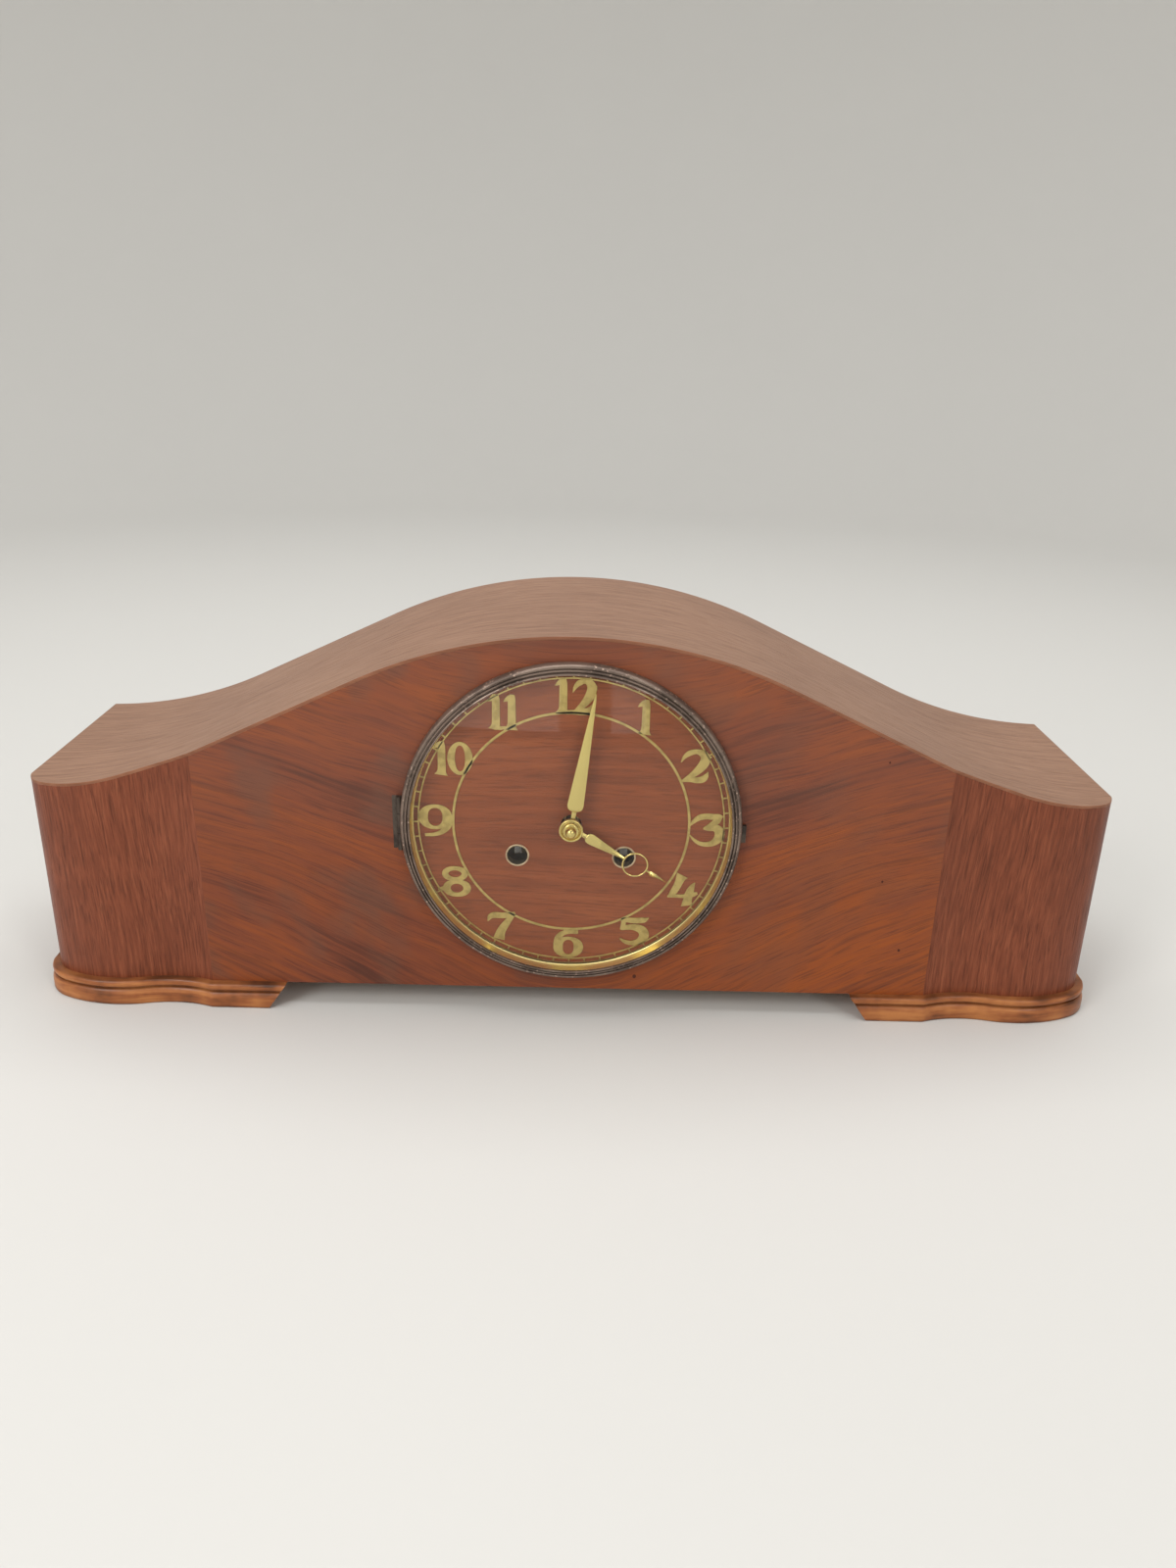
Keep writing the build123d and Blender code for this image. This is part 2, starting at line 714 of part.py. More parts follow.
# Pillars between the plates and the nuts behind them
with BuildPart() as plate_pillars:
    with BuildSketch(facing(0, back_plate_inner, dial_height)):
        with Locations(*pillar_places):
            RegularPolygon(pillar_radius, slim_sides)
    extrude(amount=plate_gap)
finish(plate_pillars.part, "plate_pillars")

with BuildPart() as pillar_nuts:
    with BuildSketch(facing(0, plate_rear, dial_height)):
        with Locations(*pillar_places):
            RegularPolygon(pillar_nut_width / 2, 6)
    extrude(amount=-pillar_nut_height)
finish(pillar_nuts.part, "pillar_nuts")

# Straps that hold the movement to the back of the front panel
with BuildPart() as movement_straps:
    with BuildSketch(facing(0, plate_front, dial_height)):
        with Locations((0, plate_above - pillar_inset), (0, -plate_below + lower_pillar_inset)):
            Rectangle(strap_length, strap_height)
    extrude(amount=strap_thickness)
finish(movement_straps.part, "movement_straps")


# Toothed wheels and pinions
def toothed(teeth, module, phase):
    """Outline of a toothed wheel, one tooth at the phase angle."""
    pitch_radius = teeth * module / 2
    points = []
    for tooth in range(teeth):
        angle = phase + full_turn / teeth * tooth
        points.append(turned((0, 0), pitch_radius + addendum_share * module, angle))
        points.append(turned((0, 0), pitch_radius - dedendum_share * module, angle + full_turn / teeth / 2))
    with BuildSketch() as outline:
        with BuildLine():
            Polyline(*points, close=True)
        make_face()
    return outline.sketch


def meshed(teeth, phase, next_teeth, way):
    """Phase of the next wheel, whose centre lies the given way, when this wheel is at its phase."""
    pitch = full_turn / teeth
    ahead = (phase - way) % pitch
    return way + full_turn / 2 + full_turn / next_teeth / 2 - ahead * teeth / next_teeth


def put(sketch, place, back, thickness, mode=Mode.ADD):
    """Extrude a sketch at a place on the movement, from a depth forward."""
    plane = facing(place[0], back, dial_height + place[1])
    extrude(plane * sketch, amount=thickness, dir=plane.z_dir, mode=mode)


def round_bar(place, front, back, radius):
    """A round bar along the depth."""
    with BuildSketch() as disc:
        Circle(radius)
    put(disc.sketch, place, back, back - front)


def sided_bar(place, front, back, radius, sides=slim_sides, mode=Mode.ADD):
    """A bar along the depth with flat sides, or the hole for a bar of the radius."""
    with BuildSketch() as disc:
        RegularPolygon(radius, sides, major_radius=mode == Mode.ADD)
    put(disc.sketch, place, back, back - front, mode)


def spoked_wheel(teeth, module, phase, place, back):
    """A toothed wheel with openings between its spokes, its back at a depth."""
    rim = teeth * module / 2 - rim_share * module
    put(toothed(teeth, module, phase), place, back, wheel_thickness)
    with BuildSketch() as windows:
        RegularPolygon(rim, 2 * spokes)
        Rectangle(2 * rim, spoke_width, mode=Mode.SUBTRACT)
        Rectangle(spoke_width, 2 * rim, mode=Mode.SUBTRACT)
        RegularPolygon(wheel_hub_radius, slim_sides, mode=Mode.SUBTRACT)
    put(windows.sketch, place, back, wheel_thickness, Mode.SUBTRACT)


def pinion(leaves, module, phase, place, back, thickness):
    """A pinion that is wider than the wheel it meets, on both sides."""
    put(toothed(leaves, module, phase), place, back + pinion_margin, thickness + 2 * pinion_margin)


def way_to(start, end):
    """Direction from one place to another, in degrees."""
    return degrees(atan2(end[1] - start[1], end[0] - start[0]))


# Winding side of each train: great wheel with its closed drum, and the arbor with its ratchet
great_phase = 0
time_great_back = plate_inner + great_front_gap + great_thickness
strike_great_back = time_great_back + great_stagger
ratchet_front = plate_rear + ratchet_gap
trains = (("time", time_place, time_great_back, 1), ("strike", strike_place, strike_great_back, -1))
for train, place, great_back, hand in trains:
    with BuildPart() as barrel:
        put(toothed(great_teeth, great_module, great_phase), place, great_back, great_thickness)
        sided_bar(place, great_back, great_back + drum_length, drum_radius, small_sides)
        sided_bar(place, plate_inner, back_plate_inner, winding_arbor_radius + pivot_fit,
                  mode=Mode.SUBTRACT)
    finish(barrel.part, train + "_barrel")

    with BuildPart() as winding_arbor:
        round_bar(place, winding_end + winding_square_length, ratchet_front + ratchet_thickness,
                  winding_arbor_radius)
        with BuildSketch() as square:
            Rectangle(winding_square, winding_square)
        put(square.sketch, place, winding_end + winding_square_length, winding_square_length)
        with BuildSketch() as ratchet:
            with BuildLine():
                points = []
                for tooth in range(ratchet_teeth):
                    angle = full_turn / ratchet_teeth * tooth
                    points.append(turned((0, 0), ratchet_root_radius, angle))
                    points.append(turned((0, 0), ratchet_radius, angle))
                Polyline(*points, close=True)
            make_face()
        put(ratchet.sketch, place, ratchet_front + ratchet_thickness, ratchet_thickness)
    finish(winding_arbor.part, train + "_winding_arbor")

# Clicks that hold the ratchets, with their screws in the back plate
with BuildPart() as ratchet_clicks:
    for train, place, great_back, hand in trains:
        pivot = turned(place, click_reach, 90 - hand * click_angle / 2)
        nose = turned(place, ratchet_radius + click_nose_gap, 90 - hand * (click_angle / 2 - click_lead))
        nose_out = turned(place, ratchet_radius + click_radius, 90 - hand * (click_angle / 2 - click_lead))
        sided_bar(pivot, plate_rear, ratchet_front + ratchet_thickness, click_radius)
        with BuildSketch() as lever:
            with BuildLine():
                Polyline(turned(pivot, click_radius, way_to(pivot, place)), nose, nose_out,
                         turned(pivot, click_radius, way_to(place, pivot)), close=True)
            make_face()
        put(lever.sketch, (0, 0), ratchet_front + ratchet_thickness, ratchet_thickness)
finish(ratchet_clicks.part, "ratchet_clicks")

# Going train: centre wheel, third wheel, escape wheel
centre_pinion_phase = meshed(great_teeth, great_phase, centre_pinion_leaves,
                             way_to(time_place, centre_place))
centre_back = back_plate_inner - centre_wheel_inset
with BuildPart() as centre_wheel:
    sided_bar(centre_place, -minute_hand_back, plate_rear, arbor_radius)
    spoked_wheel(centre_teeth, centre_module, centre_pinion_phase, centre_place, centre_back)
    pinion(centre_pinion_leaves, great_module, centre_pinion_phase, centre_place, time_great_back,
           great_thickness)
finish(centre_wheel.part, "centre_wheel")

third_phase = meshed(centre_teeth, centre_pinion_phase, third_leaves, third_angle)
third_back = plate_inner + third_wheel_place
with BuildPart() as third_wheel:
    sided_bar(third_place, plate_front, plate_rear, arbor_radius)
    spoked_wheel(third_teeth, third_module, third_phase, third_place, third_back)
    pinion(third_leaves, centre_module, third_phase, third_place, centre_back, wheel_thickness)
finish(third_wheel.part, "third_wheel")

escape_phase = meshed(third_teeth, third_phase, escape_leaves, escape_angle)
escape_back = plate_inner + escape_wheel_place
with BuildPart() as escape_wheel:
    sided_bar(escape_place, plate_front, plate_rear, arbor_radius)
    pinion(escape_leaves, third_module, escape_phase, escape_place, third_back, wheel_thickness)
    with BuildSketch() as escape_blank:
        with BuildLine():
            points = []
            for tooth in range(escape_teeth):
                angle = escape_phase + full_turn / escape_teeth * tooth
                points.append(turned((0, 0), escape_root_radius, angle - full_turn / escape_teeth / 2))
                points.append(turned((0, 0), escape_radius, angle))
            Polyline(*points, close=True)
        make_face()
    put(escape_blank.sketch, escape_place, escape_back, escape_thickness)
finish(escape_wheel.part, "escape_wheel")

# Motion work: cannon pinion, minute wheel, hour wheel
minute_turn = 90 - minute_angle
hour_turn = 90 - (120 + minute_angle / 12)
cannon_module = 2 * motion_distance / (cannon_leaves + minute_wheel_teeth)
hour_module = 2 * motion_distance / (minute_leaves + hour_wheel_teeth)
washer_back = minute_hand_back + hand_thickness
with BuildPart() as cannon_pinion:
    cannon_back = plate_front - motion_plate_gap
    put(toothed(cannon_leaves, cannon_module, 0), centre_place, cannon_back,
        wheel_thickness + motion_plate_gap)
    sided_bar(centre_place, -washer_back - washer_height, cannon_back, cannon_radius)
    sided_bar(centre_place, -minute_hand_back - hand_thickness / 2, cannon_back + overrun,
              arbor_radius + pivot_fit, mode=Mode.SUBTRACT)
finish(cannon_pinion.part, "cannon_pinion")

minute_wheel_phase = meshed(cannon_leaves, 0, minute_wheel_teeth, motion_angle)
with BuildPart() as minute_wheel:
    minute_wheel_back = plate_front - motion_plate_gap
    minute_wheel_front = minute_wheel_back - wheel_thickness
    hour_back = minute_wheel_front - motion_layer_gap
    put(toothed(minute_wheel_teeth, cannon_module, minute_wheel_phase), minute_wheel_place,
        minute_wheel_back, wheel_thickness)
    put(toothed(minute_leaves, hour_module, minute_wheel_phase), minute_wheel_place,
        minute_wheel_front, motion_layer_gap + wheel_thickness + motion_plate_gap)
    sided_bar(minute_wheel_place, 0, plate_front, minute_stud_radius + pivot_fit, mode=Mode.SUBTRACT)
finish(minute_wheel.part, "minute_wheel")

hour_wheel_phase = meshed(minute_leaves, minute_wheel_phase, hour_wheel_teeth,
                          motion_angle + full_turn / 2)
with BuildPart() as hour_wheel:
    put(toothed(hour_wheel_teeth, hour_module, hour_wheel_phase), centre_place, hour_back, wheel_thickness)
    sided_bar(centre_place, -hour_hand_back - hand_thickness, hour_back, hour_pipe_radius)
    sided_bar(centre_place, -washer_back, plate_front, cannon_radius + motion_fit, mode=Mode.SUBTRACT)
finish(hour_wheel.part, "hour_wheel")


# Hands, ridged along the middle
def ridge(width, length):
    """A long roof over the +X axis, its ridge at the hand's full thickness."""
    with BuildPart() as roof:
        with BuildSketch(Plane.YZ):
            with BuildLine():
                Polyline((-width / 2, 0), (width / 2, 0), (width / 2, hand_edge_thickness),
                         (0, hand_thickness), (-width / 2, hand_edge_thickness), close=True)
            make_face()
        extrude(amount=length)
    return roof.part


def blade_points(places, shares, width):
    """Both edges of a blade as one run of points, out along one side and back along the other."""
    upper = [(along, width / 2 * across) for along, across in zip(places, shares)]
    lower = [(x, -y) for x, y in reversed(upper)]
    return upper + lower


def shared_points(shares, start, length, width):
    """Edges of a blade whose places are shares of its length."""
    places = [start + length * along for along, across in shares]
    return blade_points(places, [across for along, across in shares], width)


def hand_at(part, back, turn):
    """A hand drawn along +X, set on the dial at a depth and turned."""
    plane = facing(0, -back, dial_height)
    return plane.location * Rot(0, 0, turn) * part


with BuildPart() as minute_blade:
    with BuildSketch():
        with BuildLine():
            Polyline((0, hand_neck_width / 2),
                     *shared_points(minute_hand_shares, 0, minute_hand_length, minute_hand_width),
                     (0, -hand_neck_width / 2), close=True)
        make_face()
    extrude(amount=hand_thickness)
    add(ridge(minute_hand_width, minute_hand_length), mode=Mode.INTERSECT)
    with BuildSketch():
        RegularPolygon(minute_hub_radius, small_sides)
    extrude(amount=hand_thickness)
    with BuildSketch():
        RegularPolygon(cannon_radius, slim_sides, major_radius=False)
    extrude(amount=hand_thickness, mode=Mode.SUBTRACT)
finish(hand_at(minute_blade.part, minute_hand_back, minute_turn), "minute_hand")

with BuildPart() as hour_blade:
    tip_start = hour_ring_place + hour_ring_radius - hour_ring_wire / 2
    tip_length = hour_hand_length - tip_start
    hour_places = (hour_neck_length, hour_shoulder_place, hour_widest_place, hour_blade_length)
    with BuildSketch():
        with BuildLine():
            Polyline((0, hand_neck_width / 2),
                     *blade_points(hour_places, hour_width_shares, hour_hand_width),
                     (0, -hand_neck_width / 2), close=True)
        make_face()
        with BuildLine():
            Polyline((tip_start, 0), *shared_points(hour_tip_shares, tip_start, tip_length, hour_hand_width),
                     close=True)
        make_face()
    extrude(amount=hand_thickness)
    add(ridge(hour_hand_width, hour_hand_length), mode=Mode.INTERSECT)
    with BuildSketch():
        with Locations((hour_ring_place, 0)):
            RegularPolygon(hour_ring_radius, small_sides)
            RegularPolygon(hour_ring_radius - hour_ring_wire, small_sides, mode=Mode.SUBTRACT)
    extrude(amount=hand_thickness - hand_edge_thickness / 2)
    with BuildSketch():
        RegularPolygon(hour_hub_radius, small_sides)
    extrude(amount=hand_thickness)
    with BuildSketch():
        RegularPolygon(hour_pipe_radius, slim_sides, major_radius=False)
    extrude(amount=hand_thickness, mode=Mode.SUBTRACT)
finish(hand_at(hour_blade.part, hour_hand_back, hour_turn), "hour_hand")

# Dished washer and domed nut over the minute hand
with BuildPart() as hand_washer:
    with BuildSketch():
        RegularPolygon(washer_radius, small_sides)
    extrude(amount=washer_height, taper=washer_slope)
    with BuildSketch():
        RegularPolygon(cannon_radius, slim_sides, major_radius=False)
    extrude(amount=washer_height, mode=Mode.SUBTRACT)
finish(hand_at(hand_washer.part, washer_back, 0), "hand_washer")

with BuildPart() as hand_nut:
    with BuildSketch():
        RegularPolygon(nut_radius, small_sides)
    extrude(amount=nut_height - nut_dome_height)
    with BuildSketch(Plane.XY.offset(nut_height - nut_dome_height)):
        RegularPolygon(nut_radius, small_sides)
    extrude(amount=nut_dome_height, taper=nut_dome_slope)
finish(hand_at(hand_nut.part, washer_back + washer_height, 0), "hand_nut")

# Anchor with its arbor and the crutch behind the back plate
anchor_back = escape_back + (anchor_thickness - escape_thickness) / 2
pendulum_depth = plate_rear + pendulum_place
crutch_back = plate_rear + crutch_gap + crutch_thickness
fork_reach = pendulum_rod_radius + suspension_play
fork_back = pendulum_depth + pendulum_rod_radius
with BuildPart() as anchor:
    sided_bar(anchor_place, plate_front, crutch_back, arbor_radius)
    with BuildSketch() as pallets:
        Circle(anchor_hub_radius)
        for side in (1, -1):
            arm = anchor_rise * sin(radians(pallet_angle))
            way = side * (90 - pallet_angle) - 90
            tip = turned((0, 0), arm, way)
            outer = turned(tip, anchor_arm, way + side * 90)
            with BuildLine():
                Polyline((0, 0), tip, outer, (0, anchor_hub_radius), close=True)
            make_face()
    put(pallets.sketch, anchor_place, anchor_back, anchor_thickness)
    with BuildSketch() as crutch:
        with Locations((0, -crutch_drop / 2)):
            Rectangle(crutch_width, crutch_drop + crutch_width)
        with Locations((0, -crutch_drop)):
            Rectangle(2 * (fork_reach + crutch_thickness), crutch_width)
    put(crutch.sketch, anchor_place, crutch_back, crutch_thickness)
    with BuildSketch() as fork:
        for side in (1, -1):
            with Locations((side * (fork_reach + crutch_thickness / 2), -crutch_drop)):
                Rectangle(crutch_thickness, crutch_width)
    put(fork.sketch, anchor_place, fork_back, fork_back - crutch_back)
finish(anchor.part, "anchor")

# Cock on the back plate, slotted for the suspension spring
with BuildPart() as pendulum_cock:
    cock_bottom = dial_height + anchor_place[1] + cock_rise
    cock_rear = pendulum_depth + suspension_width / 2 + cock_rear_wall
    with Locations((anchor_place[0], face_y + (plate_rear + cock_rear) / 2, cock_bottom + cock_height / 2)):
        Box(cock_width, cock_rear - plate_rear, cock_height)
    with Locations((anchor_place[0], face_y + pendulum_depth, cock_bottom)):
        Box(suspension_strip + 2 * suspension_play, suspension_width + 2 * suspension_play,
            2 * (cock_height - cock_rise), mode=Mode.SUBTRACT)
finish(pendulum_cock.part, "pendulum_cock")

suspension_top = cock_bottom + cock_height - cock_rise - suspension_play
with BuildPart() as suspension_spring:
    with Locations((anchor_place[0], face_y + pendulum_depth, suspension_top - suspension_length / 2)):
        Box(suspension_strip, suspension_width, suspension_length)
finish(suspension_spring.part, "suspension_spring")

# Pendulum rod with its rating nut, and the lens-shaped bob
rod_top = suspension_top - suspension_length
bob_z = dial_height + anchor_place[1] - pendulum_length
with BuildPart() as pendulum_rod:
    rod_bottom = bob_z - bob_radius - rating_nut_height
    upright_bar(anchor_place[0], face_y + pendulum_depth, (rod_top + rod_bottom) / 2, rod_top - rod_bottom,
                pendulum_rod_radius)
    upright_bar(anchor_place[0], face_y + pendulum_depth, rod_bottom + rating_nut_height / 2,
                rating_nut_height, rating_nut_radius)
finish(pendulum_rod.part, "pendulum_rod")

bob_slope = degrees(atan2(bob_radius - bob_face_radius, (bob_thickness - bob_rim) / 2))
with BuildPart() as bob_lens:
    with BuildSketch():
        RegularPolygon(bob_radius, small_sides)
    extrude(amount=bob_rim / 2)
    with BuildSketch(Plane.XY.offset(bob_rim / 2)):
        RegularPolygon(bob_radius, small_sides)
    extrude(amount=(bob_thickness - bob_rim) / 2, taper=bob_slope)
    mirror(about=Plane.XY)
with BuildPart() as pendulum_bob:
    add(facing(anchor_place[0], pendulum_depth, bob_z).location * bob_lens.part)
    upright_bar(anchor_place[0], face_y + pendulum_depth, bob_z, 4 * bob_radius, pendulum_rod_radius,
                Mode.SUBTRACT)
finish(pendulum_bob.part, "pendulum_bob")

# Hammers: an arbor between the plates, two arms behind them, brass heads over the rods
arm_depths = [plate_rear + place for place in gong_rod_places]
head_place = (hammer_place[0] - hammer_reach, hammer_place[1] - hammer_fall)
head_top = dial_height + head_place[1]
gong_rod_z = head_top - hammer_head_length - hammer_gap - gong_rod_radius


def straight_rod(start, end, radius):
    """A slim rod with flat sides from one point to another."""
    run = Vector(*end) - Vector(*start)
    with BuildSketch(Plane(origin=start, z_dir=run)) as section:
        RegularPolygon(radius, slim_sides)
    extrude(section.sketch, amount=run.length, dir=run)


with BuildPart() as hammer_arms:
    sided_bar(hammer_place, plate_front, arm_depths[-1] + hammer_arm_radius, arbor_radius)
    for depth in arm_depths:
        pivot_point = (hammer_place[0], face_y + depth, dial_height + hammer_place[1])
        elbow = (head_place[0], face_y + depth, head_top + 2 * hammer_arm_radius)
        straight_rod(pivot_point, elbow, hammer_arm_radius)
        upright_bar(head_place[0], face_y + depth, head_top + 1.5 * hammer_arm_radius,
                    3 * hammer_arm_radius, hammer_arm_radius)
finish(hammer_arms.part, "hammer_arms")

with BuildPart() as hammer_heads:
    for depth in arm_depths:
        upright_bar(head_place[0], face_y + depth, head_top - hammer_head_length / 2,
                    hammer_head_length, hammer_head_radius)
finish(hammer_heads.part, "hammer_heads")

# Gong rods and the block that carries them
block_right = head_place[0] - gong_block_gap
with BuildPart() as gong_rods:
    for depth, length in zip(arm_depths, gong_rod_lengths):
        root, neck, tip = (
            (block_right + reach, face_y + depth, gong_rod_z) for reach in (0, gong_rod_neck, length)
        )
        straight_rod(root, neck, gong_rod_neck_radius)
        straight_rod(neck, tip, gong_rod_radius)
finish(gong_rods.part, "gong_rods")

with BuildPart() as gong_block:
    block_front = arm_depths[0] - gong_block_margin
    block_back = arm_depths[-1] + gong_block_margin
    block_top = gong_rod_z + gong_block_rise
    with BuildSketch(facing(0, block_back, 0)):
        with BuildLine():
            block_left = block_right - gong_block_length
            Polyline((block_left - gong_block_taper, case_floor), (block_right, case_floor),
                     (block_right, block_top), (block_left + gong_block_taper, block_top), close=True)
        make_face()
    extrude(amount=block_back - block_front)
finish(gong_block.part, "gong_block")
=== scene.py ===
"""Looks of a low, wide wooden mantel clock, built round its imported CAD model.

Lengths are millimetres until a mesh is made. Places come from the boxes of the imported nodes.
The clock faces -Y and stands on the plane z = 0.
"""

import json
import logging
from dataclasses import dataclass, field
from enum import Enum
from math import cos, pi, radians, sin, tan
from typing import Optional, Sequence, Union

import bmesh
import bpy
import numpy as np
from mathutils import Matrix, Vector


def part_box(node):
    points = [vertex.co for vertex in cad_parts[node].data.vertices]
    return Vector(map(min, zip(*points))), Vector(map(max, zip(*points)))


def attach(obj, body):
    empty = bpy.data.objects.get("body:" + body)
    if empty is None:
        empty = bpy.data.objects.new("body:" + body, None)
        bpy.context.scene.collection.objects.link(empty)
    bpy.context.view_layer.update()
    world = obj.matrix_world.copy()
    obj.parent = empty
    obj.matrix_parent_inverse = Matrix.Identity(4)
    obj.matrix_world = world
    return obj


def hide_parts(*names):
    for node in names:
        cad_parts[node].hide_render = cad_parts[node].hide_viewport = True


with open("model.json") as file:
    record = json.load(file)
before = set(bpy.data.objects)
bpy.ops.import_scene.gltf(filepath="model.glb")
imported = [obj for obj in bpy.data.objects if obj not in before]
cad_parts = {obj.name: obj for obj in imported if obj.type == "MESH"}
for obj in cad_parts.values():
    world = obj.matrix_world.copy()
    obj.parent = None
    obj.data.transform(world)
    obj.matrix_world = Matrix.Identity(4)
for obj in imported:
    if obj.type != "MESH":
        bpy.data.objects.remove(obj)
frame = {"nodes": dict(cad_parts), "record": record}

Points = np.ndarray
Pair = tuple[float, float]
Pairs = tuple[Pair, ...]
Place = tuple[float, float, float]
Colour = tuple[float, float, float]
Value = Union[float, Colour, Sequence[float], "Flow"]
Inputs = Optional[dict[Union[str, int], Value]]

MM = 0.001
MERGE = 1e-6
SMOOTH_ANGLE = radians(38)
QUARTER = pi / 2
LOG = logging.getLogger("clock")


def box_of(node: str) -> tuple[Points, Points]:
    """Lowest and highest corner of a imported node, in millimetres."""
    low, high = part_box(node)
    return np.array(low) / MM, np.array(high) / MM


def placed(name: str, data: Optional[bpy.types.ID]) -> bpy.types.Object:
    """New object in the scene with its data."""
    made = bpy.data.objects.new(name, data)
    bpy.context.scene.collection.objects.link(made)
    return made


def between(start: Union[float, Points], end: Union[float, Points], count: int) -> Points:
    """Evenly spaced values or points from a start to an end, both included."""
    return np.linspace(start, end, count)


def around(count: int) -> Points:
    """Evenly spaced angles of one full turn."""
    return np.arange(count) * 2 * pi / count


def stacked(*coordinates: Points) -> Points:
    """Points from their coordinates."""
    return np.stack(coordinates, axis=-1)


def metres(lengths: Sequence[float]) -> list[float]:
    """Lengths in millimetres brought to metres."""
    return [length * MM for length in lengths]


def arc(centre: Sequence[float], size: Union[float, Pair], angles: Points) -> Points:
    """Points centre + size * (cos t, sin t): an arc of a circle, or of an ellipse with two sizes."""
    return centre + stacked(np.cos(angles), np.sin(angles)) * size


def rectangle(left: float, right: float, start: float, end: float) -> Points:
    """Corners of a rectangle."""
    return np.array([[left, start], [right, start], [right, end], [left, end]])


def arc_through(start: Points, middle: Points, end: Points, count: int) -> Points:
    """Points on the circle through three points.

    The centre solves the two equations that say it is as far from the middle point, and from the
    end, as from the start. The angle then runs evenly from the start, by the middle, to the end.

    Args:
        start: First point, two numbers.
        middle: A point between the two.
        end: Last point.
        count: How many points the arc has.

    Returns:
        The points, count x 2.
    """
    sides = 2 * np.array([middle - start, end - start])
    squares = np.array([middle @ middle - start @ start, end @ end - start @ start])
    centre = np.linalg.solve(sides, squares)
    first, half, last = (np.arctan2(*(point - centre)[::-1]) for point in (start, middle, end))
    turn = (last - first) % (2 * pi)
    if (half - first) % (2 * pi) > turn:
        turn -= 2 * pi
    return arc(centre, np.linalg.norm(start - centre), first + between(0, turn, count))


def arc_from(start: Points, heading: Points, end: Points, count: int) -> Points:
    """Points on the circle that leaves the start along a heading and ends at the end.

    The centre lies square to the heading, at r = d.d / (2 n.d), where d runs from start to end and
    n is the unit vector square to the heading. The arc's middle lies on the bisector.

    Args:
        start: First point.
        heading: Direction at the first point.
        end: Last point.
        count: How many points the arc has.

    Returns:
        The points, count x 2.
    """
    heading = heading / np.linalg.norm(heading)
    square = np.array([-heading[1], heading[0]])
    span = end - start
    radius = span @ span / (2 * square @ span)
    centre = start + square * radius
    outward = (start + end) / 2 - centre
    middle = centre + outward / np.linalg.norm(outward) * abs(radius)
    return arc_through(start, middle, end, count)


def eased(corners: Points, ease: float, steps: int, most: float = 0.45) -> Points:
    """Closed outline with its corners eased.

    Each corner gives way to a curve (1-t)^2 a + 2t(1-t) c + t^2 b between the points a and b that
    lie the ease before and after the corner c.

    Args:
        corners: Corner points, n x 2.
        ease: How far from the corner the curve begins.
        steps: How many stretches the curve has.
        most: Largest share of a side that a curve takes.

    Returns:
        The outline's points.
    """
    ends = []
    for step in (1, -1):
        side = np.roll(corners, step, axis=0) - corners
        length = np.linalg.norm(side, axis=1, keepdims=True)
        ends.append(corners + side * np.minimum(ease / length, most))
    near, far = ends
    t = between(0, 1, steps + 1)[None, :, None]
    curve = (1 - t) ** 2 * near[:, None] + 2 * t * (1 - t) * corners[:, None] + t**2 * far[:, None]
    return curve.reshape(-1, 2)


def flowing(controls: Points, steps: int) -> Points:
    """Smooth run through control points, by the Catmull-Rom formula on each stretch.

    Args:
        controls: Control points, n x any number of values.
        steps: Points on each stretch.

    Returns:
        The points of the run.
    """
    before, after = 2 * controls[:1] - controls[1:2], 2 * controls[-1:] - controls[-2:-1]
    padded = np.vstack([before, controls, after])
    a, b, c, d = (padded[i : len(padded) - 3 + i, None] for i in range(4))
    t = between(0, 1, steps + 1)[:-1][None, :, None]
    run = (2 * b + (c - a) * t + (2 * a - 5 * b + 4 * c - d) * t**2 + (3 * b - a - 3 * c + d) * t**3) / 2
    return np.vstack([run.reshape(-1, controls.shape[1]), controls[-1:]])


class Axis(Enum):
    """Direction of a turned piece's axis: the order in which (r cos, r sin, along) become x, y, z."""

    DEPTH = (0, 2, 1)
    UP = (0, 1, 2)


def lathed(profile: Points, centre: Sequence[float], sides: int, axis: Axis = Axis.DEPTH) -> Points:
    """Grid of a profile turned round an axis: (r cos t, r sin t, along), put in the axis's order.

    Args:
        profile: Pairs of radius and place along the axis, n x 2.
        centre: Any point of the axis. Its value along the axis isn't used.
        sides: Points round the axis.
        axis: Direction of the axis.

    Returns:
        Points, n x sides x 3.
    """
    turn = around(sides)
    radius, along = profile[:, :1], profile[:, 1:]
    flat = stacked(radius * np.cos(turn), radius * np.sin(turn), along + 0 * turn)
    shift = np.array(centre, float)
    shift[axis.value.index(2)] = 0
    return flat[..., list(axis.value)] + shift


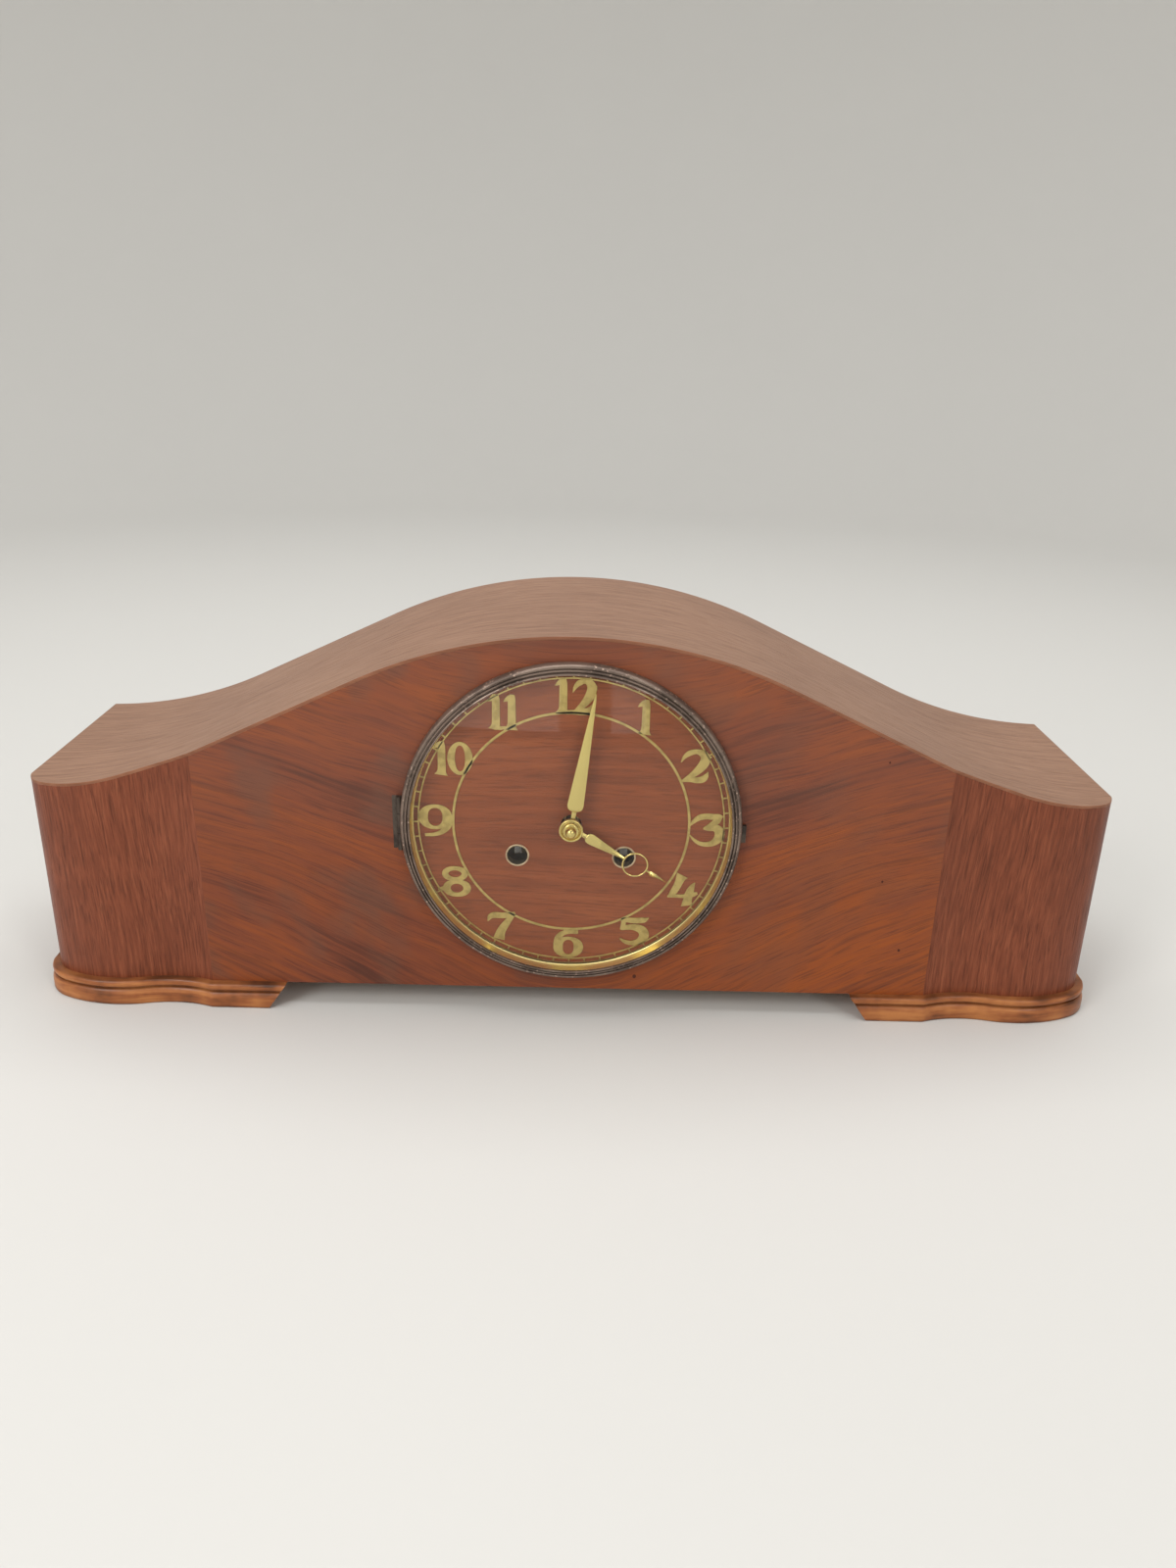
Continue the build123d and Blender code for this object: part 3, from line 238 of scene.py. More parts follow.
@dataclass
class Shell:
    """Points and faces gathered for one mesh, in millimetres."""

    points: list[Points] = field(default_factory=list)
    faces: list[list[int]] = field(default_factory=list)
    count: int = 0

    def grid(self, points: Points, loop_rows: bool = False, loop_columns: bool = False) -> Points:
        """Add a surface whose cells are four-sided faces.

        Args:
            points: Rows x columns x 3.
            loop_rows: Whether the last row leads back to the first.
            loop_columns: Whether the last column leads back to the first.

        Returns:
            The numbers of the points, rows x columns.
        """
        rows, columns = points.shape[:2]
        numbers = self.count + np.arange(rows * columns).reshape(rows, columns)
        cells = np.vstack([numbers, numbers[:1]]) if loop_rows else numbers
        cells = np.hstack([cells, cells[:, :1]]) if loop_columns else cells
        quads = stacked(cells[:-1, :-1], cells[1:, :-1], cells[1:, 1:], cells[:-1, 1:])
        self.points.append(points.reshape(-1, 3))
        self.faces += quads.reshape(-1, 4).tolist()
        self.count += rows * columns
        return numbers

    def tube(self, rings: Points) -> None:
        """Add a closed section carried along a path, rings x section x 3, closed at both ends."""
        numbers = self.grid(rings, loop_columns=True)
        self.faces += [numbers[0].tolist(), numbers[-1].tolist()]

    def turned(self, profile: Points, centre: Sequence[float], sides: int, closed: bool = True) -> None:
        """Add a profile turned round the depth. A closed one leads back to its start."""
        self.grid(lathed(profile, centre, sides), closed, True)

    def mesh(self, name: str, finishes: Optional[list[int]] = None) -> bpy.types.Mesh:
        """Make the mesh, in metres.

        Args:
            name: Its name.
            finishes: Finish number of each face, where there is more than one.

        Returns:
            The mesh: merged where points meet, faces outwards, smooth but for its edges.
        """
        mesh = bpy.data.meshes.new(name)
        mesh.from_pydata((np.vstack(self.points) * MM).tolist(), [], self.faces)
        if finishes:
            mesh.polygons.foreach_set("material_index", finishes)
        tidy_mesh(mesh)
        return mesh


def tidy_mesh(mesh: bpy.types.Mesh) -> None:
    """Merge a mesh's doubled points, turn its faces outwards and shade it smooth between its edges."""
    work = bmesh.new()
    work.from_mesh(mesh)
    bmesh.ops.remove_doubles(work, verts=work.verts, dist=MERGE)
    bmesh.ops.dissolve_degenerate(work, edges=work.edges, dist=MERGE)
    bmesh.ops.recalc_face_normals(work, faces=work.faces)
    work.to_mesh(mesh)
    work.free()
    mesh.polygons.foreach_set("use_smooth", np.ones(len(mesh.polygons), bool))
    mesh.set_sharp_from_angle(angle=SMOOTH_ANGLE)
    mesh.update()


def united(parts: Sequence[bpy.types.Mesh], name: str) -> bpy.types.Mesh:
    """Join overlapping closed meshes to one solid.

    Args:
        parts: The meshes. They are used up.
        name: Name of the joined mesh.

    Returns:
        The joined mesh.
    """
    whole = [placed(f"{name}_{number}", part) for number, part in enumerate(parts)]
    for other in whole[1:]:
        join = whole[0].modifiers.new("join", "BOOLEAN")
        join.operation, join.solver, join.object = "UNION", "EXACT", other
    bpy.context.view_layer.update()
    shown = whole[0].evaluated_get(bpy.context.evaluated_depsgraph_get())
    mesh = bpy.data.meshes.new_from_object(shown)
    mesh.name = name
    for made in whole:
        bpy.data.objects.remove(made)
    tidy_mesh(mesh)
    return mesh


class Flow:
    """A value in a material's tree. Sums, products and the methods add nodes that work on it."""

    def __init__(self, recipe: "Recipe", socket: bpy.types.NodeSocket) -> None:
        """Hold an output of a recipe's tree."""
        self.recipe = recipe
        self.socket = socket

    def math(self, operation: str, *others: Value) -> "Flow":
        """Result of a math operation on this value and others."""
        return self.recipe.flow("ShaderNodeMath", dict(enumerate((self, *others))), operation=operation)

    def __add__(self, other: Value) -> "Flow":
        """The sum."""
        return self.math("ADD", other)

    def __sub__(self, other: Value) -> "Flow":
        """The difference."""
        return self.math("SUBTRACT", other)

    def __mul__(self, other: Value) -> "Flow":
        """The product."""
        return self.math("MULTIPLY", other)

    def spread(self, low: float, high: float, start: float = 0.0, end: float = 1.0) -> "Flow":
        """The value brought from one range to another, smoothly and held at both ends."""
        inputs = dict(enumerate((self, low, high, start, end)))
        return self.recipe.flow("ShaderNodeMapRange", inputs, interpolation_type="SMOOTHSTEP")

    def tones(self, *stops: tuple[float, Colour]) -> "Flow":
        """Colour that the value picks.

        Args:
            *stops: Values with their colours, in order.

        Returns:
            The colour.
        """
        made = self.recipe.node("ShaderNodeValToRGB", {0: self})
        elements = made.color_ramp.elements
        while len(elements) < len(stops):
            elements.new(0.5)
        for element, (where, colour) in zip(elements, stops):
            element.position = where
            element.color = (*colour, 1)
        return Flow(self.recipe, made.outputs[0])

    def mix(self, first: Value, second: Value) -> "Flow":
        """Two colours mixed, with this value as the share of the second."""
        return self.recipe.flow("ShaderNodeMix", {0: self, 6: first, 7: second}, 2, data_type="RGBA")

    def bump(self, depth: float, strength: float = 1.0) -> "Flow":
        """Normal from this height of 0 to 1, which stands for a depth in millimetres."""
        inputs = {"Height": self, "Distance": depth * MM, "Strength": strength}
        return self.recipe.flow("ShaderNodeBump", inputs)


class Recipe:
    """Node tree of one material, with short words for the nodes that the finishes use."""

    def __init__(self, name: str) -> None:
        """Start an empty material. Its place is the point on the object, in metres."""
        self.material = bpy.data.materials.new(name)
        self.material.use_nodes = True
        self.tree = self.material.node_tree
        self.tree.nodes.clear()
        self.place = self.flow("ShaderNodeTexCoord", output="Object")

    def node(self, kind: str, inputs: Inputs = None, **settings: object) -> bpy.types.Node:
        """Add a node.

        Args:
            kind: Blender's name of the node type.
            inputs: Value for each input that isn't left as it is.
            **settings: Properties of the node.

        Returns:
            The node.
        """
        made = self.tree.nodes.new(kind)
        for word, setting in settings.items():
            setattr(made, word, setting)
        for word, value in (inputs or {}).items():
            if isinstance(value, Flow):
                self.tree.links.new(value.socket, made.inputs[word])
            elif made.inputs[word].type == "RGBA":
                made.inputs[word].default_value = (*value, 1)
            else:
                made.inputs[word].default_value = value
        return made

    def flow(self, kind: str, inputs: Inputs = None, output: Union[int, str] = 0,
             **settings: object) -> Flow:
        """Value that a new node gives."""
        return Flow(self, self.node(kind, inputs, **settings).outputs[output])

    def parts(self) -> list[Flow]:
        """The three values of the place."""
        return [Flow(self, socket) for socket in self.node("ShaderNodeSeparateXYZ", {0: self.place}).outputs]

    def joined(self, x: Value, y: Value, z: Value) -> Flow:
        """A vector from three values."""
        return self.flow("ShaderNodeCombineXYZ", {0: x, 1: y, 2: z})

    def mapped(self, scale: Place, lean: float = 0.0, vector: Optional[Flow] = None) -> Flow:
        """The place, or another vector, stretched by a scale after a turn in degrees round the depth."""
        inputs = {"Vector": vector or self.place, "Scale": scale, "Rotation": (0.0, radians(lean), 0.0)}
        return self.flow("ShaderNodeMapping", inputs)

    def noise(self, vector: Flow, scale: float, detail: float = 3.0, roughness: float = 0.55,
              twist: float = 0.0) -> Flow:
        """Cloudy noise from 0 to 1."""
        inputs = {"Scale": scale, "Detail": detail, "Roughness": roughness, "Distortion": twist}
        return self.flow("ShaderNodeTexNoise", {"Vector": vector, **inputs})

    def cells(self, vector: Flow, scale: float) -> Flow:
        """Distance to the nearest of scattered points."""
        return self.flow("ShaderNodeTexVoronoi", {"Vector": vector, "Scale": scale}, "Distance")

    def surface(self, colour: Value, gloss: Value, **inputs: Value) -> bpy.types.Material:
        """Finish with the main shader.

        Args:
            colour: Base colour.
            gloss: Roughness.
            **inputs: The shader's other inputs, with underscores for blanks.

        Returns:
            The material.
        """
        words = {word.replace("_", " "): value for word, value in inputs.items()}
        words.update({"Base Color": colour, "Roughness": gloss})
        return self.shown(self.flow("ShaderNodeBsdfPrincipled", words))

    def shown(self, shader: Flow) -> bpy.types.Material:
        """Finish with any shader."""
        self.node("ShaderNodeOutputMaterial", {0: shader})
        return self.material


class Grain(Enum):
    """How the grain of a wooden face runs, as the stretch of its noise along x, y and z."""

    ACROSS = (0.05, 1.0, 1.0)
    FINE_ACROSS = (0.05, 1.0, 0.06)
    UP = (1.0, 1.0, 0.045)


@dataclass(frozen=True)
class Wood:
    """Straight-grained wood under a thin worn varnish."""

    name: str
    dark: Colour
    middle: Colour
    light: Colour
    grain: Grain = Grain.ACROSS
    lean: float = 0.0
    streak_scale: float = 110.0
    pore_scale: float = 620.0
    pore_share: float = 0.35
    pore_tone: float = 0.45
    gloss: float = 0.42
    gloss_spread: float = 0.12
    shine: float = 0.22
    varnish: float = 0.08
    cloud: float = 0.35
    drift: float = 0.012
    relief: float = 0.12

    def make(self) -> bpy.types.Material:
        """Streaks and pores are two noises stretched along the grain. A third, unstretched, clouds them."""
        recipe = Recipe(self.name)
        bend = recipe.noise(recipe.mapped((5, 5, 5)), 1.0, 2.0)
        wander = recipe.flow("ShaderNodeTexNoise", {0: recipe.place, "Scale": 7.0, "Detail": 1.0}, "Color")
        bent = recipe.flow("ShaderNodeMixRGB", {0: self.drift, 1: recipe.place, 2: wander}, blend_type="ADD")
        along = recipe.mapped(self.grain.value, self.lean, bent)
        streaks = recipe.noise(along, self.streak_scale, 4.0, 0.6, 0.3)
        pores = recipe.noise(along, self.pore_scale, 2.0, 0.7).spread(0.36, 0.50, 1.0, 0.0)
        clouds = recipe.noise(recipe.place, 14.0, 3.0, 0.5)
        value = streaks * (1 - self.cloud) + clouds * self.cloud
        colour = value.tones((0.30, self.dark), (0.50, self.middle), (0.70, self.light))
        deep = tuple(self.pore_tone * part for part in self.dark)
        colour = (pores * self.pore_share).mix(colour, deep)
        gloss = (bend + pores) * self.gloss_spread + (self.gloss - self.gloss_spread / 2)
        normal = (streaks - pores * 0.5).bump(self.relief, 0.6)
        return recipe.surface(colour, gloss, Normal=normal, Specular_IOR_Level=self.shine,
                              Coat_Weight=self.varnish, Coat_Roughness=0.25)


@dataclass(frozen=True)
class FiguredVeneer:
    """Front veneer of two matched halves: its streaks climb away from the middle on both sides."""

    name: str = "figured_veneer"
    climb: float = 34.0
    crown_climb_share: float = 0.5
    climb_heights: Pair = (20.0, 190.0)
    flame_radius: float = 38.0
    dark: Colour = (0.092, 0.030, 0.018)
    grey: Colour = (0.135, 0.060, 0.038)
    red: Colour = (0.190, 0.050, 0.022)
    warm: Colour = (0.285, 0.070, 0.015)
    faded: Colour = (0.27, 0.145, 0.11)
    speck: Colour = (0.03, 0.008, 0.006)
    core: Colour = (0.33, 0.18, 0.09)
    band_share: float = 0.46
    line_share: float = 0.30
    cloud_share: float = 0.24
    warm_share: float = 0.10
    warm_reach: Pair = (-50.0, 160.0)
    warm_heights: Pair = (140.0, 20.0)
    faded_share: float = 0.12
    faded_heights: Pair = (60.0, 150.0)
    warp: float = 0.024
    face_depth: float = 0.9
    core_fade: float = 0.2
    relief: float = 0.08

    def make(self) -> bpy.types.Material:
        """Streaks are noise over (along, across), with sqrt(x^2 + r^2) in the place of x: mirrored flames.

        The climb grows with the distance from the middle and with the fall from the crown, and a
        wide cloud that isn't mirrored makes the lower right warmer. The upper part is a little paler and
        greyer.
        Behind the face it is core wood.
        """
        recipe = Recipe(self.name)
        x, depth, z = recipe.parts()
        side = (x * x + (self.flame_radius * MM) ** 2).math("SQRT")
        warp = recipe.noise(recipe.joined(side, 0.0, z), 9.0, 2.0, 0.5) * self.warp
        low_slope, high_slope = tan(radians(self.climb)), tan(radians(self.climb * self.crown_climb_share))
        across = z - side * z.spread(*metres(self.climb_heights), low_slope, high_slope) + warp
        wide = recipe.joined(side * 0.10, 0.0, across)
        thin = recipe.joined(side * 0.05, 0.0, across)
        bands = recipe.noise(wide, 58.0, 4.0, 0.62, 0.2)
        lines = recipe.noise(thin, 330.0, 4.0, 0.68)
        broad = recipe.noise(recipe.place, 13.0, 2.0, 0.5)
        right = x.spread(*metres(self.warm_reach))
        warmth = right * z.spread(*metres(self.warm_heights)) * self.warm_share
        value = bands * self.band_share + lines * self.line_share + (broad * self.cloud_share + warmth)
        middle = tuple((red + warm) / 2 for red, warm in zip(self.red, self.warm))
        colour = value.tones((0.39, self.dark), (0.47, self.red), (0.56, middle), (0.66, self.warm))
        streak = recipe.noise(thin, 190.0, 2.0, 0.7).spread(0.35, 0.45, 0.42, 0.0)
        colour = streak.mix(colour, self.dark)
        dull = recipe.noise(recipe.joined(side * 0.45, x, across), 26.0, 2.0, 0.5)
        dull = dull.spread(0.48, 0.66, 0.0, 0.6) * right.spread(0.0, 1.0, 1.0, 0.35)
        colour = dull.mix(colour, self.grey)
        pores = recipe.noise(thin, 1200.0, 2.0, 0.6).spread(0.36, 0.48, 0.50, 0.0)
        colour = pores.mix(colour, self.dark)
        # paler and greyer towards the top
        high = z.spread(*metres(self.faded_heights), 0.0, self.faded_share)
        colour = high.mix(colour, self.faded)
        specks = recipe.cells(recipe.mapped((1.0, 1.0, 0.8)), 62.0).math("LESS_THAN", 0.055)
        rare = recipe.noise(recipe.place, 23.0, 0.0).math("GREATER_THAN", 0.54)
        colour = (specks * rare * 0.8).mix(colour, self.speck)
        start = box_of("front_panel")[0][1] + self.face_depth
        colour = depth.spread(*metres((start, start + self.core_fade))).mix(colour, self.core)
        gloss = broad * 0.16 + (pores * 0.3 + 0.28)
        normal = (lines - pores).bump(self.relief, 0.5)
        return recipe.surface(colour, gloss, Normal=normal, Specular_IOR_Level=0.2, Coat_Weight=0.05,
                              Coat_Roughness=0.2)


@dataclass(frozen=True)
class FootWood:
    """Moulded wood of the feet: orange where it is rubbed, with painted shade in the quirk, under the case
    and by the ground.
    """

    name: str = "foot_wood"
    dark: Colour = (0.07, 0.024, 0.010)
    middle: Colour = (0.29, 0.090, 0.026)
    rubbed: Colour = (0.46, 0.175, 0.052)
    quirk_level: float = 8.7
    quirk_reach: Pair = (0.3, 1.6)
    top_reach: Pair = (11.9, 12.7)
    sole_reach: Pair = (0.2, 1.6)
    relief: float = 0.2

    def make(self) -> bpy.types.Material:
        """Height above the ground places painted shade in the quirk, under the case and by the ground. Noise
        stretched along the moulding gives the grain.
        """
        recipe = Recipe(self.name)
        _, _, z = recipe.parts()
        grain = recipe.noise(recipe.mapped((0.10, 0.3, 1.0)), 260.0, 3.0, 0.6, 0.4)
        patches = recipe.noise(recipe.place, 46.0, 3.0, 0.6)
        value = grain * 0.5 + patches * 0.5
        colour = value.tones((0.34, self.dark), (0.48, self.middle), (0.62, self.rubbed))
        quirk, top, sole = map(metres, (self.quirk_reach, self.top_reach, self.sole_reach))
        # painted shade: darker in the quirk, along the top under the case and along the sole by the ground
        near = (z - self.quirk_level * MM).math("ABSOLUTE").spread(*quirk, 0.65, 0.0)
        painted_shade = near.math("MAXIMUM", z.spread(*top, 0.0, 0.6)).math("MAXIMUM", z.spread(*sole, 0.7, 0.0))
        colour = (painted_shade * patches.spread(0.3, 0.6, 1.0, 0.6)).mix(colour, self.dark)
        gloss = patches.spread(0.3, 0.7, 0.30, 0.52)
        normal = value.bump(self.relief, 0.5)
        return recipe.surface(colour, gloss, Normal=normal, Specular_IOR_Level=0.3, Coat_Weight=0.1,
                              Coat_Roughness=0.25)


@dataclass(frozen=True)
class Metal:
    """Metal with a film of tarnish over it."""

    name: str
    bright: Colour
    film: Colour
    film_share: float = 0.4
    film_scale: float = 60.0
    smooth: float = 0.22
    rough: float = 0.45
    dents: float = 0.02
    dent_scale: float = 900.0
    speckle: float = 0.0
    speckle_scale: float = 520.0
    speckle_gain: float = 3.2
    gloss_spread: float = 0.12
    metallic: float = 1.0

    def make(self) -> bpy.types.Material:
        """One noise spreads the film and its dullness, a finer one the dents, and cells the speckle."""
        recipe = Recipe(self.name)
        patches = recipe.noise(recipe.place, self.film_scale, 4.0, 0.6)
        fine = recipe.noise(recipe.place, self.dent_scale, 3.0, 0.6)
        film = patches.spread(0.62 - 0.5 * self.film_share, 0.80 - 0.4 * self.film_share)
        colour = film.mix(self.bright, self.film)
        least = self.smooth - self.gloss_spread / 2
        gloss = film * (self.rough - self.smooth) + fine * self.gloss_spread + least
        if self.speckle:
            dots = recipe.cells(recipe.place, self.speckle_scale).spread(0.12, 0.34, self.speckle, 0.0)
            pale = tuple(min(1.0, self.speckle_gain * part) for part in self.bright)
            colour = (dots * patches.spread(0.36, 0.56)).mix(colour, pale)
        return recipe.surface(colour, gloss, Normal=fine.bump(self.dents), Metallic=self.metallic)


@dataclass(frozen=True)
class ClearGlass:
    """Clear glass that passes what lies behind it and mirrors the room on its outer face."""

    name: str = "clear_glass"
    bend: float = 1.40
    tint: Colour = (0.965, 0.975, 0.97)
    white: Colour = (1.0, 1.0, 1.0)
    smear: Pair = (0.02, 0.08)

    def make(self) -> bpy.types.Material:
        """A mirror over a see-through sheet, by Fresnel, on faces that are seen from outside only."""
        recipe = Recipe(self.name)
        behind = recipe.flow("ShaderNodeNewGeometry", output="Backfacing")
        share = recipe.flow("ShaderNodeFresnel", {"IOR": self.bend}) * behind.math("LESS_THAN", 0.5)
        dull = recipe.noise(recipe.place, 38.0, 3.0, 0.6).spread(0.4, 0.75, *self.smear)
        through = recipe.flow("ShaderNodeBsdfTransparent", {0: self.tint})
        mirror = recipe.flow("ShaderNodeBsdfGlossy", {"Color": self.white, "Roughness": dull})
        return recipe.shown(recipe.flow("ShaderNodeMixShader", {0: share, 1: through, 2: mirror}))


class Finishes:
    """Every finish of the clock, made once and kept by name."""

    KINDS = (
        FiguredVeneer(),
        FootWood(),
        ClearGlass(),
        Wood("top_veneer", (0.185, 0.092, 0.054), (0.262, 0.139, 0.085), (0.320, 0.178, 0.110),
             Grain.FINE_ACROSS, streak_scale=620.0, pore_scale=1300.0, pore_share=0.22, gloss=0.50,
             shine=0.35, cloud=0.25),
        Wood("block_wood", (0.115, 0.029, 0.011), (0.190, 0.048, 0.020), (0.275, 0.080, 0.035), Grain.UP, 4.0,
             streak_scale=950.0, pore_scale=1500.0, pore_share=0.40, cloud=0.22),
        Wood("dial_veneer", (0.190, 0.046, 0.015), (0.270, 0.067, 0.020), (0.330, 0.088, 0.027),
             streak_scale=170.0, pore_scale=1100.0),
        Wood("edge_wood", (0.18, 0.068, 0.034), (0.25, 0.100, 0.052), (0.31, 0.135, 0.072),
             streak_scale=260.0, gloss=0.5, pore_share=0.15),
        Wood("plain_wood", (0.25, 0.135, 0.066), (0.37, 0.215, 0.112), (0.46, 0.29, 0.16),
             streak_scale=120.0, gloss=0.62, varnish=0.0, pore_share=0.2),
        Wood("stained_ply", (0.085, 0.036, 0.020), (0.150, 0.064, 0.034), (0.215, 0.098, 0.052),
             streak_scale=140.0, gloss=0.55),
        Metal("dial_brass", (0.62, 0.46, 0.165), (0.47, 0.34, 0.12), 0.40, 160.0, 0.40, 0.55, 0.012),
        Metal("eyelet_brass", (0.66, 0.50, 0.32), (0.40, 0.28, 0.17), 0.30, 260.0, 0.30, 0.45, 0.010),
        Metal("hand_brass", (0.74, 0.58, 0.21), (0.66, 0.51, 0.18), 0.20, 40.0, 0.24, 0.30, 0.0015),
        Metal("gilt_brass", (1.0, 0.85, 0.38), (0.95, 0.77, 0.31), 0.20, 40.0, 0.36, 0.42, 0.004),
        Metal("aged_bronze", (0.225, 0.165, 0.130), (0.122, 0.087, 0.068), 0.45, 60.0, 0.36, 0.50, 0.05,
              dent_scale=520.0, speckle=0.55, metallic=0.6),
        # painted shade: a darker copy of aged_bronze, for the hinge and catch at the bezel's sides
        Metal("dark_bronze", (0.085, 0.065, 0.050), (0.045, 0.034, 0.027), 0.45, 160.0, 0.40, 0.55, 0.02,
              metallic=0.6),
        Metal("fitting_brass", (0.62, 0.45, 0.19), (0.22, 0.15, 0.07), 0.50, 190.0, 0.30, 0.52, 0.02),
        Metal("plate_brass", (0.78, 0.60, 0.26), (0.55, 0.40, 0.16), 0.40, 45.0, 0.26, 0.42, 0.008),
        Metal("wheel_brass", (0.82, 0.62, 0.25), (0.52, 0.37, 0.14), 0.35, 140.0, 0.22, 0.36, 0.005),
        Metal("steel", (0.56, 0.56, 0.55), (0.30, 0.28, 0.25), 0.35, 120.0, 0.26, 0.42, 0.006),
        # painted shade: near-black steel for the winding arbors, so the winding holes look dark as in shade
        Metal("dark_steel", (0.16, 0.155, 0.15), (0.07, 0.06, 0.055), 0.4, 160.0, 0.34, 0.50, 0.006),
        Metal("blued_steel", (0.07, 0.09, 0.17), (0.05, 0.05, 0.07), 0.4, 150.0, 0.22, 0.36, 0.004),
        Metal("gong_bronze", (0.58, 0.34, 0.17), (0.30, 0.17, 0.09), 0.40, 90.0, 0.28, 0.46, 0.008),
        Metal("cast_iron", (0.075, 0.072, 0.068), (0.045, 0.040, 0.036), 0.4, 120.0, 0.50, 0.70, 0.10,
              dent_scale=500.0, metallic=0.7),
    )

    def __init__(self) -> None:
        """Make all the finishes."""
        self.made = {kind.name: kind.make() for kind in self.KINDS}

    def __getitem__(self, name: str) -> bpy.types.Material:
        """The material of a finish."""
        return self.made[name]


@dataclass
class Assembly:
    """A sub-assembly of the clock: it rides on one CAD body unless a piece says otherwise."""

    finishes: Finishes
    body: str = "case"

    def __post_init__(self) -> None:
        """Take the dial's centre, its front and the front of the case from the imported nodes."""
        low, high = box_of("dial_board")
        self.centre = (low + high) / 2
        self.front = low[1]
        self.face = box_of("front_panel")[0][1]

    def dress(self, finish: str, *nodes: str) -> None:
        """Give CAD nodes that stay as they are a finish."""
        for node in nodes:
            materials = frame["nodes"][node].data.materials
            materials.clear()
            materials.append(self.finishes[finish])
            LOG.info("dressed %s in %s", node, finish)

    def piece(self, mesh: bpy.types.Mesh, finish: Union[str, Sequence[str]], slot: str,
              replaces: Sequence[str] = (), body: Optional[str] = None) -> bpy.types.Object:
        """Put a mesh in the scene as a piece of the clock.

        Args:
            mesh: The finished mesh, in metres, in its place.
            finish: Name of its finish, or the names for its finish numbers.
            slot: The record's material slot. It is not used.
            replaces: CAD nodes that it stands for.
            body: CAD body that it moves with, where it isn't the assembly's own.

        Returns:
            The piece.
        """
        for name in [finish] if isinstance(finish, str) else finish:
            mesh.materials.append(self.finishes[name])
        made = placed(mesh.name, mesh)
        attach(made, body or self.body)
        if replaces:
            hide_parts(*replaces)
        LOG.info("made %s on %s, %d faces", mesh.name, body or self.body, len(mesh.polygons))
        return made

    def smooth_copy(self, node: str, finish: str, slot: str, body: Optional[str] = None) -> None:
        """Stand a smooth copy in for a CAD node with round faces: merged, at the same place.

        Args:
            node: The node.
            finish: Name of its finish.
            slot: The record's material slot.
            body: CAD body that it moves with, where it isn't the assembly's own.
        """
        mesh = frame["nodes"][node].data.copy()
        mesh.name = node + "_smooth"
        if "custom_normal" in mesh.attributes:
            mesh.attributes.remove(mesh.attributes["custom_normal"])
        mesh.materials.clear()
        tidy_mesh(mesh)
        self.piece(mesh, finish, slot, [node], body)


